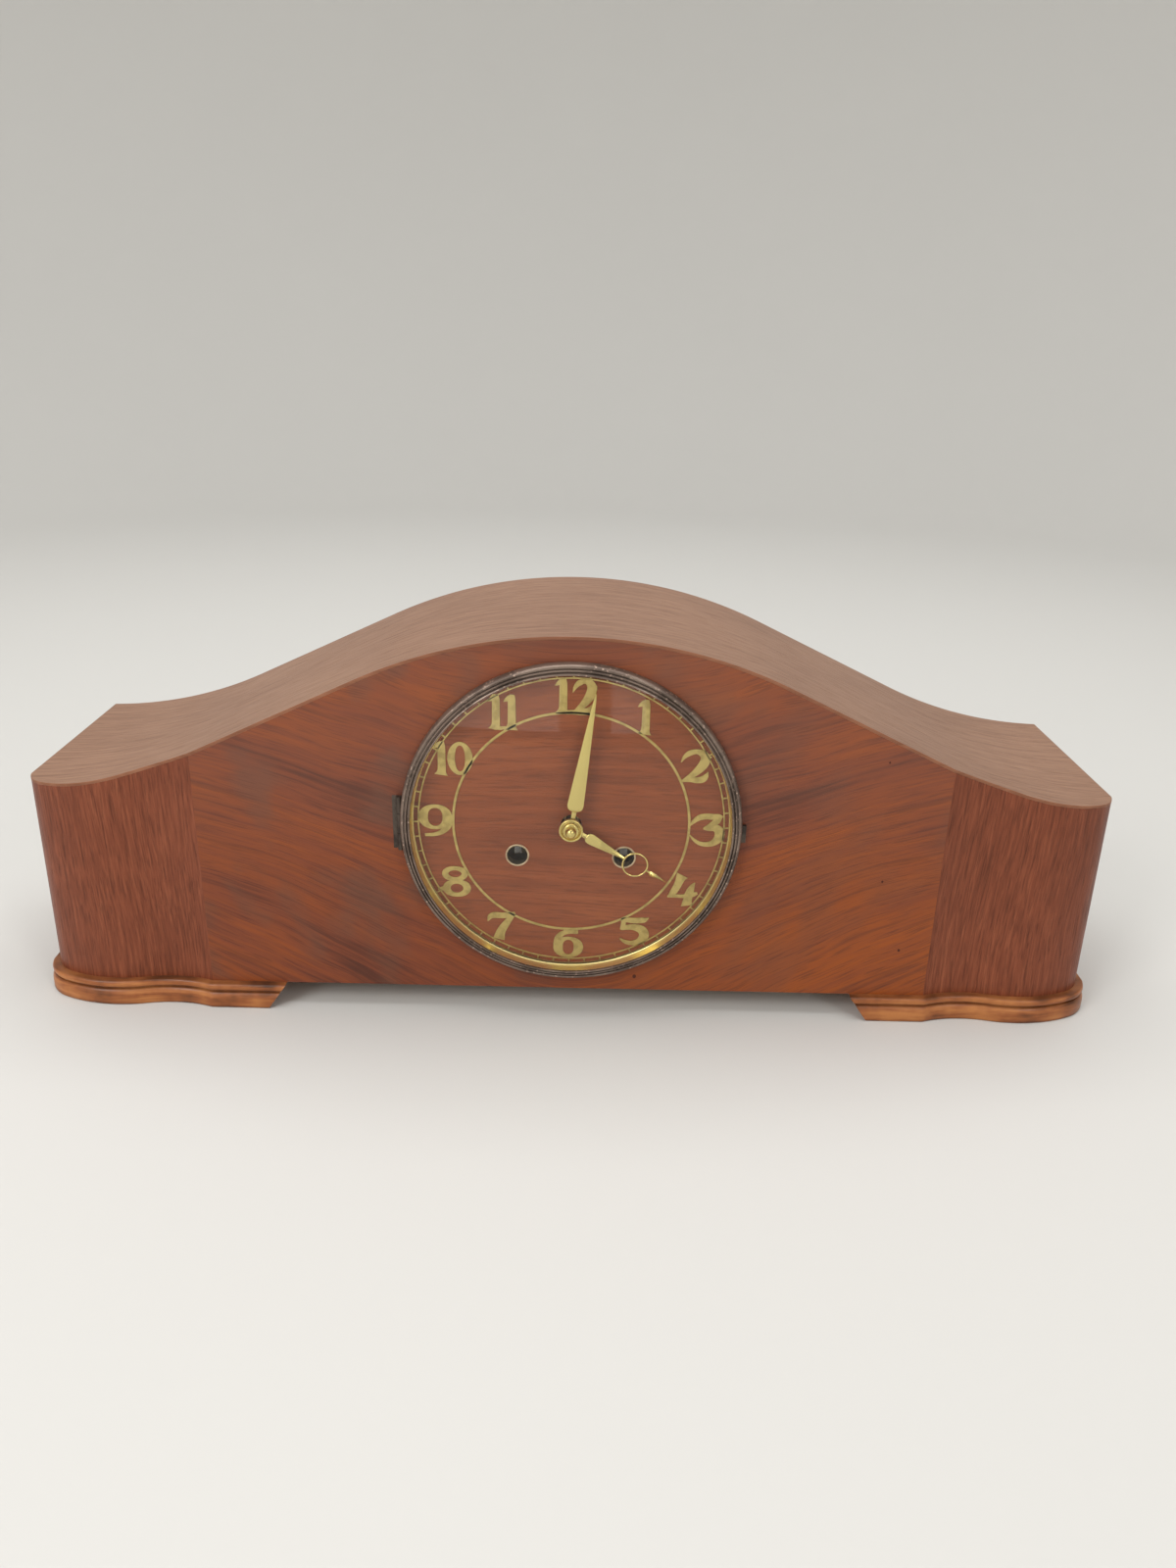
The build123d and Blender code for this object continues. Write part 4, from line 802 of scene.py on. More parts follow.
@dataclass
class Case(Assembly):
    """The wooden case: top skin, front, end blocks, feet and back."""

    crown_radius: float = 232.5
    flank_angle: float = 25.3
    flank_end: float = 175.1
    hollow_radius: float = 208.5
    corner_depth: float = 19.0
    skin: float = 1.5
    skin_steps: int = 150
    skin_finishes: tuple[int, ...] = (0, 0, 2, 2, 2, 2, 2, 1)
    edge_round: float = 0.35
    edge_angle: float = 50.0
    ply: float = 7.5
    panel_depth: float = 14.0
    frame_depth: float = 9.0
    ogee_shares: tuple[Place, ...] = (
        (0.217, 0.195, -88.0), (0.422, 0.10, -103.0), (0.639, 0.045, -85.0), (0.88, 0.337, -64.0))
    foot_inner_top: float = 140.0
    foot_inner_ground: float = 149.0
    foot_rear_inset: float = 2.0
    foot_proud: float = 4.8
    foot_ease: Pairs = ((-0.7, 0.0), (-0.2, 0.25), (0.0, 0.8))
    quirk_proud: float = 2.7
    quirk_height: float = 0.9
    quirk_slack: float = 0.05
    bead_proud: float = 4.2
    bead_fullness: float = 0.7
    sole_height: float = 8.2
    sole_curve_start: float = 4.4
    sole_step: float = 0.4

    def __post_init__(self) -> None:
        """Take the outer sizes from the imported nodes."""
        low, high = box_of("bent_top")
        self.half_width, self.crest = high[0], high[2]
        self.face, self.rear = low[1], high[1]
        self.seam = box_of("front_panel")[1][0]
        self.foot_height = box_of("feet")[1][2]

    def roof(self, x: Points) -> tuple[Points, Points]:
        """Outline of the top: a crown arc, straight flanks and hollow arcs that lead to the ends.

        Args:
            x: Places across.

        Returns:
            The outline's points (x, z) and its outward directions, both n x 2.
        """
        turn = radians(self.flank_angle)
        reach = np.abs(x)
        crown_z = self.crest - self.crown_radius
        flank_x = self.crown_radius * sin(turn)
        flank_z = crown_z + self.crown_radius * cos(turn)
        foot_z = flank_z - (self.flank_end - flank_x) * tan(turn)
        hollow_x = self.flank_end + self.hollow_radius * sin(turn)
        hollow_z = foot_z + self.hollow_radius * cos(turn)
        crown = crown_z + np.sqrt(np.maximum(self.crown_radius**2 - reach**2, 0))
        flank = flank_z - (reach - flank_x) * tan(turn)
        hollow = hollow_z - np.sqrt(np.maximum(self.hollow_radius**2 - (reach - hollow_x) ** 2, 0))
        leans = reach / self.crown_radius, sin(turn) + 0 * reach, (hollow_x - reach) / self.hollow_radius
        stretch = [reach <= flank_x, reach <= self.flank_end, reach > self.flank_end]
        z, lean = (np.select(stretch, values) for values in ((crown, flank, hollow), leans))
        return stacked(x, z), stacked(np.sign(x) * lean, np.sqrt(1 - lean**2))

    def front_plan(self, proud: float, steps: int = 18) -> Points:
        """Front of the right end block in plan, from the seam to the corner.

        A hollow and a bulge are arcs through three points, and a third arc leads on to the corner.
        Each point is moved outwards by the amount that the plan stands proud.

        Args:
            proud: How far the plan stands proud of the block.
            steps: Points on each arc.

        Returns:
            The points (x, y) of the plan.
        """
        across, down, way = np.array(self.ogee_shares).T
        width = self.half_width - self.seam
        ogee = stacked(self.seam + across * width, self.face + down * self.corner_depth)
        ogee = arc(ogee, proud, np.radians(way))
        seam = np.array([self.seam, self.face - proud])
        corner = np.array([self.half_width + proud, self.face + self.corner_depth])
        hollow = arc_through(seam, ogee[0], ogee[1], steps)
        bulge = arc_through(ogee[1], ogee[2], ogee[3], steps)
        turn_in = arc_from(bulge[-1], bulge[-1] - bulge[-2], corner, steps)
        return np.vstack([hollow, bulge[1:], turn_in[1:]])

    def top_skin(self) -> None:
        """Bent top: a section of skin and inner ply carried along the outline of the roof.

        A corner of the section lies along the depth, under the skin and deeper by the inner ply, by
        a share of each. Only the middle of the case has the inner ply. Each side has its own finish.
        """
        plan = self.front_plan(0)
        middle = between(-self.seam, self.seam, self.skin_steps)
        x = np.concatenate([-plan[::-1, 0], middle, plan[:, 0]])
        front = np.concatenate([plan[::-1, 1], np.full(len(middle), self.face), plan[:, 1]])
        inner = np.concatenate([np.zeros(len(plan)), np.ones(len(middle)), np.zeros(len(plan))])
        outline, outward = self.roof(x)
        depth = self.rear - self.face
        panel, back = self.panel_depth / depth, 1 - self.frame_depth / depth
        along = np.array([0, 1, 1, back, back, panel, panel, 0])
        under = np.array([0, 0, 1, 1, 1, 1, 1, 1])
        deeper = np.array([0, 0, 0, 0, 1, 1, 0, 0])
        drop = self.skin * under + (self.ply - self.skin) * deeper * inner[:, None]
        y = front[:, None] + along * (self.rear - front[:, None])
        place = outline[:, None] - outward[:, None] * drop[..., None]
        shell = Shell()
        shell.tube(stacked(place[..., 0], y, place[..., 1]))
        ends = [0, 0]
        finishes = list(self.skin_finishes) * (len(x) - 1) + ends
        made = self.piece(shell.mesh("bent_top_skin", finishes), ("top_veneer", "edge_wood", "plain_wood"),
                          "top_wood", ["bent_top"])
        rounding = made.modifiers.new("rounding", "BEVEL")
        rounding.width, rounding.segments = self.edge_round * MM, 3
        rounding.angle_limit = radians(self.edge_angle)
        made.modifiers.new("flat_faces", "WEIGHTED_NORMAL").keep_sharp = True

    def foot_profile(self) -> Points:
        """Moulding of a foot as (how far it stands proud, height): an ovolo sole, a quirk and a bead."""
        ease = np.array(self.foot_ease) + (self.foot_proud, 0)
        curve, swell = between(0, QUARTER, 7), between(-QUARTER, QUARTER, 11)
        step = self.quirk_proud + self.sole_step
        start = self.sole_curve_start
        sole = arc((step, start), (self.foot_proud - step, self.sole_height - start), curve)
        low = self.sole_height + self.quirk_height
        quirk = between((self.quirk_proud, self.sole_height + self.quirk_slack),
                        (self.quirk_proud, low - self.quirk_slack), 2)
        half = (self.foot_height - low) / 2
        swelling = (self.bead_proud - self.quirk_proud) * np.cos(swell) ** self.bead_fullness
        bead = stacked(self.quirk_proud + swelling, low + half + half * np.sin(swell))
        return np.vstack([ease, sole, quirk, bead])

    def foot_outline(self, proud: float, level: float) -> Points:
        """Outline of the right foot at one level of its moulding, cut off on a slant at the inner end.

        Args:
            proud: How far it stands proud of the case.
            level: Height above the ground.

        Returns:
            The points of the closed outline, n x 3.
        """
        slant = self.foot_inner_top - self.foot_inner_ground
        inner = self.foot_inner_ground + slant * level / self.foot_height
        outer, front, back = self.half_width + proud, self.face - proud, self.rear - self.foot_rear_inset
        plan = self.front_plan(proud, 22)
        straight = between((inner, front), (self.seam, front), 10)[:-1]
        wall = between((outer, plan[-1, 1]), (outer, back), 9)[1:]
        rear = between((outer, back), (inner, back), 8)[1:]
        loop = np.vstack([straight, plan, wall, rear])
        return stacked(loop[:, 0], loop[:, 1], np.full(len(loop), level))

    def feet(self) -> None:
        """Feet: the right one's outlines at each level of the moulding, and their mirror image."""
        rings = np.array([self.foot_outline(proud, level) for proud, level in self.foot_profile()])
        shell = Shell()
        for side in (1, -1):
            shell.tube(rings * (side, 1, 1))
        self.piece(shell.mesh("moulded_feet"), "foot_wood", "foot_wood", ["feet"])

    def build(self) -> None:
        """Make and dress every piece of the case."""
        self.top_skin()
        self.feet()
        self.smooth_copy("end_blocks", "block_wood", "front_wood")
        self.dress("figured_veneer", "front_panel")
        self.dress("plain_wood", "base_board")
        self.dress("stained_ply", "back_frame", "back_door")
        for node, body in (("door_hinge_leaves", "case"), ("door_hinge_knuckles", "rear_door"),
                           ("turn_button", "button")):
            self.smooth_copy(node, "fitting_brass", "fitting_brass", body)


@dataclass(frozen=True)
class Digit:
    """A fretted numeral about its centre, in millimetres.

    A stroke is a run of (across, up, width). A bowl is an ellipse: centre across and up, half
    width, half height, and the stroke's width at its sides and at its ends.
    """

    strokes: tuple[tuple[Place, ...], ...] = ()
    bowls: tuple[tuple[float, ...], ...] = ()

    def paths(self) -> list[tuple[Points, bool]]:
        """Smooth paths of the strokes and bowls, each with whether it is closed.

        A bowl's width runs from the side's to the end's with the square of the sine.

        Returns:
            The paths.
        """
        runs = [(flowing(np.array(stroke), 8), False) for stroke in self.strokes]
        turn = around(48)
        for across, up, half_width, half_height, side, end in self.bowls:
            width = side + (end - side) * np.sin(turn) ** 2
            run = stacked(across + half_width * np.cos(turn), up + half_height * np.sin(turn), width)
            runs.append((run, True))
        return runs


DIGITS = {
    "0": Digit(bowls=((0.0, 0.0, 4.1, 7.3, 3.5, 1.7),)),
    "1": Digit((((-2.9, 4.9, 0.3), (-1.7, 5.8, 1.7), (0.0, 7.0, 2.6)),
                ((1.0, 8.3, 2.2), (0.8, 6.8, 3.1), (0.8, 5.0, 3.5), (0.8, -4.4, 3.7), (0.6, -6.8, 4.3),
                 (0.4, -8.3, 6.2)))),
    "2": Digit((((-6.4, 1.8, 0.3), (-5.0, 4.4, 1.7), (-2.6, 6.4, 2.6), (0.6, 7.2, 2.3), (3.6, 6.0, 3.7),
                 (4.7, 3.4, 4.5), (3.5, 0.3, 4.4), (0.4, -3.2, 3.3), (-3.2, -6.0, 2.0), (-5.8, -7.7, 1.0)),
                ((-6.0, -7.6, 0.8), (-2.0, -6.7, 2.3), (1.6, -6.9, 2.9), (4.2, -6.2, 3.2), (5.5, -4.6, 2.2),
                 (6.3, -2.7, 0.3)),
                ((5.0, 4.4, 2.8), (6.4, 4.6, 1.6), (7.6, 4.7, 0.6)))),
    "3": Digit((((-7.9, 2.1, 0.4), (-6.3, 4.3, 1.9), (-3.8, 6.3, 2.8), (-0.4, 7.0, 2.9), (3.2, 6.8, 3.0),
                 (5.4, 7.0, 2.6), (7.3, 7.0, 0.6)),
                ((6.6, 6.6, 0.8), (4.6, 4.6, 3.0), (2.2, 2.9, 2.6), (0.2, 1.8, 1.6), (-1.7, 1.0, 0.5)),
                ((-1.7, 0.7, 0.6), (0.6, 0.6, 1.9), (3.8, 1.2, 3.6), (6.0, -0.8, 4.6), (5.7, -4.2, 4.4),
                 (2.4, -7.0, 2.8), (-2.2, -7.2, 2.0), (-5.5, -5.4, 1.5), (-7.9, -2.8, 0.5)))),
    "4": Digit((((-0.3, 8.0, 6.0), (-0.9, 6.8, 4.8), (-1.7, 4.4, 3.9), (-3.0, 1.2, 3.6), (-4.6, -1.6, 3.1),
                 (-6.3, -3.4, 1.4)),
                ((-7.0, -3.5, 0.9), (-3.0, -3.1, 1.7), (1.0, -3.1, 1.9), (5.0, -2.2, 2.6), (7.4, -1.4, 1.2)),
                ((5.9, 4.2, 0.4), (4.6, 1.8, 2.6), (3.5, -1.4, 3.9), (3.0, -4.6, 4.1), (2.7, -6.6, 4.7),
                 (2.9, -8.2, 6.2)))),
    "5": Digit((((-5.6, 6.3, 2.4), (0.0, 5.8, 3.0), (4.4, 6.1, 2.8), (5.8, 6.6, 1.6), (6.9, 7.4, 0.4)),
                ((-5.3, 7.2, 2.2), (-5.3, 4.0, 2.3), (-5.7, 0.6, 2.4)),
                ((-6.4, 1.0, 1.4), (-3.4, 2.0, 2.6), (0.2, 2.1, 3.4), (3.8, 0.6, 4.5), (5.0, -2.4, 4.8),
                 (3.0, -5.5, 3.8), (-0.8, -6.7, 2.5), (-4.2, -6.0, 1.9), (-6.9, -4.2, 0.5)))),
    "6": Digit((((-5.3, -0.6, 4.2), (-4.9, 3.0, 3.5), (-3.0, 5.6, 2.6), (0.2, 6.5, 2.0), (4.4, 6.5, 1.9)),
                ((-2.4, 6.9, 1.2), (1.0, 6.6, 1.9), (4.7, 6.6, 1.9))),
               ((0.0, -1.9, 5.0, 4.9, 4.7, 1.6),)),
    "7": Digit((((-6.6, 2.2, 0.4), (-5.4, 4.6, 2.6), (-3.4, 5.6, 3.2), (0.4, 5.5, 3.1), (4.4, 5.9, 2.9),
                 (6.7, 6.9, 1.6)),
                ((6.2, 6.7, 1.8), (3.8, 3.2, 2.9), (1.4, -0.4, 3.8), (-0.3, -3.6, 4.4), (-1.2, -7.5, 5.6)))),
    "8": Digit((((5.6, -0.8, 2.2), (6.0, -3.4, 2.4), (5.2, -6.0, 1.8)),
                ((-8.2, -4.2, 0.4), (-6.6, -3.9, 1.8), (-5.2, -3.6, 2.6))),
               ((0.1, 4.3, 4.7, 2.9, 3.0, 2.1), (0.9, -3.4, 4.9, 3.5, 3.7, 2.2))),
    "9": Digit((((6.1, 1.4, 4.2), (5.7, -2.4, 3.8), (3.4, -5.5, 2.6), (-0.6, -7.2, 1.8), (-5.0, -7.5, 1.5)),),
               ((0.0, 1.8, 5.7, 5.5, 4.5, 1.7),)),
    "bar": Digit((((-9.3, -8.0, 0.9), (-3.0, -7.5, 1.9), (3.0, -7.7, 2.2), (7.6, -7.4, 2.6)),)),
    "link": Digit((((-4.0, -8.2, 0.9), (0.2, -7.6, 1.5), (4.6, -8.0, 1.2)),)),
}

# Centres of the numerals about the dial's, in millimetres
PLACES = {
    1: (32.3, 54.2), 2: (56.6, 30.9), 3: (64.0, -1.2), 4: (54.0, -33.2), 5: (31.6, -56.0),
    6: (-0.4, -63.8), 7: (-33.2, -54.4), 8: (-55.4, -31.2), 9: (-64.0, 0.8), 10: (-55.4, 32.2),
    11: (-32.0, 55.2), 12: (1.0, 63.4),
}

# Digits of the numerals that have more than one, as (word, shift across, share of full width)
JOINED = {
    10: (("1", -5.7, 1.0), ("0", 3.6, 1.0)),
    11: (("1", -3.9, 1.0), ("1", 3.3, 1.0), ("link", 0.0, 1.0)),
    12: (("1", -6.4, 1.0), ("2", 3.7, 0.78), ("bar", 0.4, 1.0)),
}


@dataclass
class Dial(Assembly):
    """The wooden dial with its brass numerals, rings and minute track."""

    brass: float = 0.4
    ring_ease: float = 0.12
    ring_sides: int = 240
    ring_radius: float = 55.6
    ring_width: float = 1.2
    track_inner: float = 72.0
    track_outer: float = 74.6
    track_width: float = 0.75
    tick_width: float = 0.7
    tick_thickness_share: float = 0.9
    minutes: int = 60
    eyelet_bore: float = 4.85
    eyelet_outer: float = 5.55
    eyelet_lip: float = 5.7
    eyelet_ease: float = 0.22

    def ring(self, shell: Shell, radius: float, width: float) -> None:
        """Add a flat brass ring with eased edges to a shell."""
        section = rectangle(radius - width / 2, radius + width / 2, self.front, self.front - self.brass)
        shell.turned(eased(section, self.ring_ease, 2), self.centre, self.ring_sides)

    def rings(self) -> None:
        """The ring inside the numerals and the two lines of the minute track with a tick a minute."""
        shell = Shell()
        self.ring(shell, self.ring_radius, self.ring_width)
        self.ring(shell, self.track_inner, self.track_width)
        self.piece(shell.mesh("dial_rings"), "dial_brass", "dial_brass", ["chapter_ring"])
        track = Shell()
        self.ring(track, self.track_outer, self.track_width)
        turn = around(self.minutes)
        ways = stacked(np.cos(turn), 0 * turn, np.sin(turn))
        squares = stacked(-np.sin(turn), 0 * turn, np.cos(turn)) * self.tick_width / 2
        thick = self.tick_thickness_share * self.brass
        corners = [(reach, wide, deep) for reach in (self.track_inner, self.track_outer)
                   for wide, deep in ((-1, 0), (1, 0), (1, 1), (-1, 1))]
        for way, square in zip(ways, squares):
            points = np.array([self.centre + way * reach + square * wide for reach, wide, _ in corners])
            points[:, 1] = [self.front - deep * thick for _, _, deep in corners]
            track.tube(points.reshape(2, 4, 3))
        self.piece(track.mesh("minute_track"), "dial_brass", "dial_brass")

    def stroke(self, run: Points, closed: bool, place: Points) -> bpy.types.Mesh:
        """One stroke of a numeral: a rectangle as wide as the stroke, carried along its path.

        Args:
            run: Points (across, up, width) about the digit's centre.
            closed: Whether the path is a loop.
            place: Centre of the digit, (x, z).

        Returns:
            The stroke's mesh.
        """
        path, half = run[:, :2], run[:, 2:] / 2
        if closed:
            heading = np.roll(path, -1, axis=0) - np.roll(path, 1, axis=0)
        else:
            heading = np.gradient(path, axis=0)
        heading /= np.linalg.norm(heading, axis=1, keepdims=True)
        square = stacked(-heading[:, 1], heading[:, 0])
        left, right = place + path + square * half, place + path - square * half
        back = np.full(len(path), self.front)
        front = back - self.brass
        corners = ((left, back), (right, back), (right, front), (left, front))
        rings = np.stack([stacked(edge[:, 0], y, edge[:, 1]) for edge, y in corners], axis=1)
        shell = Shell()
        if closed:
            shell.grid(rings, True, True)
        else:
            shell.tube(rings)
        return shell.mesh("stroke")

    def numeral(self, hour: int) -> None:
        """Fret one numeral out of brass: its digits' strokes joined to one solid."""
        across, up = PLACES[hour]
        parts = []
        for word, shift, narrow in JOINED.get(hour, ((str(hour), 0.0, 1.0),)):
            centre = np.array([self.centre[0] + across + shift, self.centre[2] + up])
            for run, closed in DIGITS[word].paths():
                parts.append(self.stroke(run * (narrow, 1, 1), closed, centre))
        self.piece(united(parts, f"numeral_{hour:02d}"), "dial_brass", "dial_brass")

    def eyelets(self) -> None:
        """Eyelets of the winding holes: a tube with a rolled lip on the front of the dial."""
        low, high = box_of("winding_grommets")
        tube = rectangle(self.eyelet_bore, self.eyelet_outer, high[1], self.front)[:3]
        lip = rectangle(self.eyelet_bore, self.eyelet_lip, self.front, low[1])[1:]
        section = eased(np.vstack([tube, lip]), self.eyelet_ease, 3)
        shell = Shell()
        for side in (1, -1):
            centre = ((high[0] - self.eyelet_lip) * side, 0, (low[2] + high[2]) / 2)
            shell.turned(section, centre, 72)
        self.piece(shell.mesh("winding_hole_eyelets"), "eyelet_brass", "dial_brass", ["winding_grommets"])

    def build(self) -> None:
        """Make and dress every piece of the dial."""
        self.dress("dial_veneer", "dial_board")
        self.rings()
        for hour in PLACES:
            self.numeral(hour)
        self.eyelets()


@dataclass
class Bezel(Assembly):
    """The hinged bezel with its glass, sight ring, hinge and catch.

    The tables are pairs of a radius and how far a point stands before the face of the case.
    """

    body: str = "bezel"
    outer: float = 80.0
    seat: float = 75.6
    back: float = 0.3
    back_ease: float = 0.4
    roll_centre: Pair = (78.7, 3.4)
    roll_size: Pair = (1.3, 2.5)
    grooves: Pairs = (
        (78.3, 5.75), (78.15, 4.8), (77.75, 4.8), (77.65, 5.75), (77.4, 6.1), (76.9, 6.1), (76.65, 5.75),
        (76.55, 4.95), (76.2, 4.95), (76.1, 6.2), (75.9, 6.8), (75.55, 7.0), (75.25, 6.9), (75.1, 6.6),
        (75.1, 6.2))
    ring_sides: int = 360
    hinge_gap: float = 0.3
    notch: float = 1.7
    notch_start: float = 1.4
    glass_rise: float = 8.0
    glass_seat: float = 4.8
    glass_thickness: float = 1.5
    glass_steps: int = 40
    glass_sides: int = 160
    glass_slack: float = 0.02
    putty: float = 0.1
    sight_inner: float = 74.3
    sight_foot: float = 0.5
    sight_depth: float = 3.9
    sight_hollow: float = 0.85
    sight_sides: int = 240

    @property
    def glass_bow(self) -> float:
        """Radius of the glass's inner sphere, from its rim and its rise."""
        return (self.seat**2 + self.glass_rise**2) / (2 * self.glass_rise)

    def ring(self) -> None:
        """Bezel ring: a rolled rim, two fine grooves with a bead between, and a lip over the glass.

        The profile is turned round the dial's axis. Where the hinge lies, the back of the rim is
        drawn in to leave room for the barrel.
        """
        bow = self.glass_bow + self.glass_thickness
        edge = self.glass_seat + self.glass_rise + self.glass_thickness - bow + np.sqrt(bow**2 - self.seat**2)
        rim = arc(self.roll_centre, self.roll_size, between(0, QUARTER, 8))
        corner = [[self.outer - self.back_ease, self.back], [self.outer, self.back + self.back_ease]]
        seat = self.seat
        outline = np.vstack([[seat, self.back], corner, rim, self.grooves, [seat, edge + self.putty]])
        grid = lathed(stacked(outline[:, 0], self.face - outline[:, 1]), self.centre, self.ring_sides)
        low, high = box_of("bezel_hinge_leaf")
        half = (high[2] - low[2]) / 2 + self.hinge_gap
        limit = -(self.outer + self.hinge_gap) + self.notch
        rear = grid[..., 1] > self.face - self.notch_start - self.notch
        near = (grid[..., 0] < limit) & (np.abs(grid[..., 2] - (low[2] + high[2]) / 2) < half) & rear
        grid[..., 0] = np.where(near, limit, grid[..., 0])
        shell = Shell()
        shell.grid(grid, True, True)
        self.piece(shell.mesh("bezel_rim"), "aged_bronze", "aged_bronze", ["bezel_ring"])

    def glass(self) -> None:
        """Domed glass: two caps of spheres with one centre, joined by a flat rim."""
        bow = self.glass_bow
        middle_y = self.face - self.glass_seat - self.glass_rise + bow
        share = np.sqrt(between(0, 1, self.glass_steps))
        outer, inner = self.seat * share, (self.seat - self.glass_slack) * share[::-1]
        profile = np.vstack([stacked(outer, middle_y - np.sqrt((bow + self.glass_thickness) ** 2 - outer**2)),
                             stacked(inner, middle_y - np.sqrt(bow**2 - inner**2))])
        shell = Shell()
        shell.turned(profile, self.centre, self.glass_sides, closed=False)
        self.piece(shell.mesh("domed_glass"), "clear_glass", "clear_glass", ["glass_dome"])

    def sight(self) -> None:
        """Polished sight ring: a hollow slope from the glass's edge in towards the dial."""
        start, end = self.face - self.glass_seat, self.face - self.glass_seat + self.sight_depth
        t = between(0, 1, 12)
        slope = between((self.seat, start), (self.sight_inner, end), 12)
        slope[:, 1] += self.sight_hollow * np.sin(pi * t)
        section = np.vstack([slope, [self.sight_inner + self.sight_foot, end], [self.seat, end]])
        shell = Shell()
        shell.turned(section, self.centre, self.sight_sides)
        self.piece(shell.mesh("polished_sight_ring"), "gilt_brass", "bright_brass", ["sight_ring"])

    def build(self) -> None:
        """Make and dress every piece of the bezel."""
        self.ring()
        self.glass()
        self.sight()
        # painted shade: the hinge and catch take a darker copy of the bezel's bronze
        self.smooth_copy("bezel_hinge_leaf", "dark_bronze", "aged_bronze", "case")
        for node in ("bezel_hinge_knuckle", "bezel_catch"):
            self.smooth_copy(node, "dark_bronze", "aged_bronze")


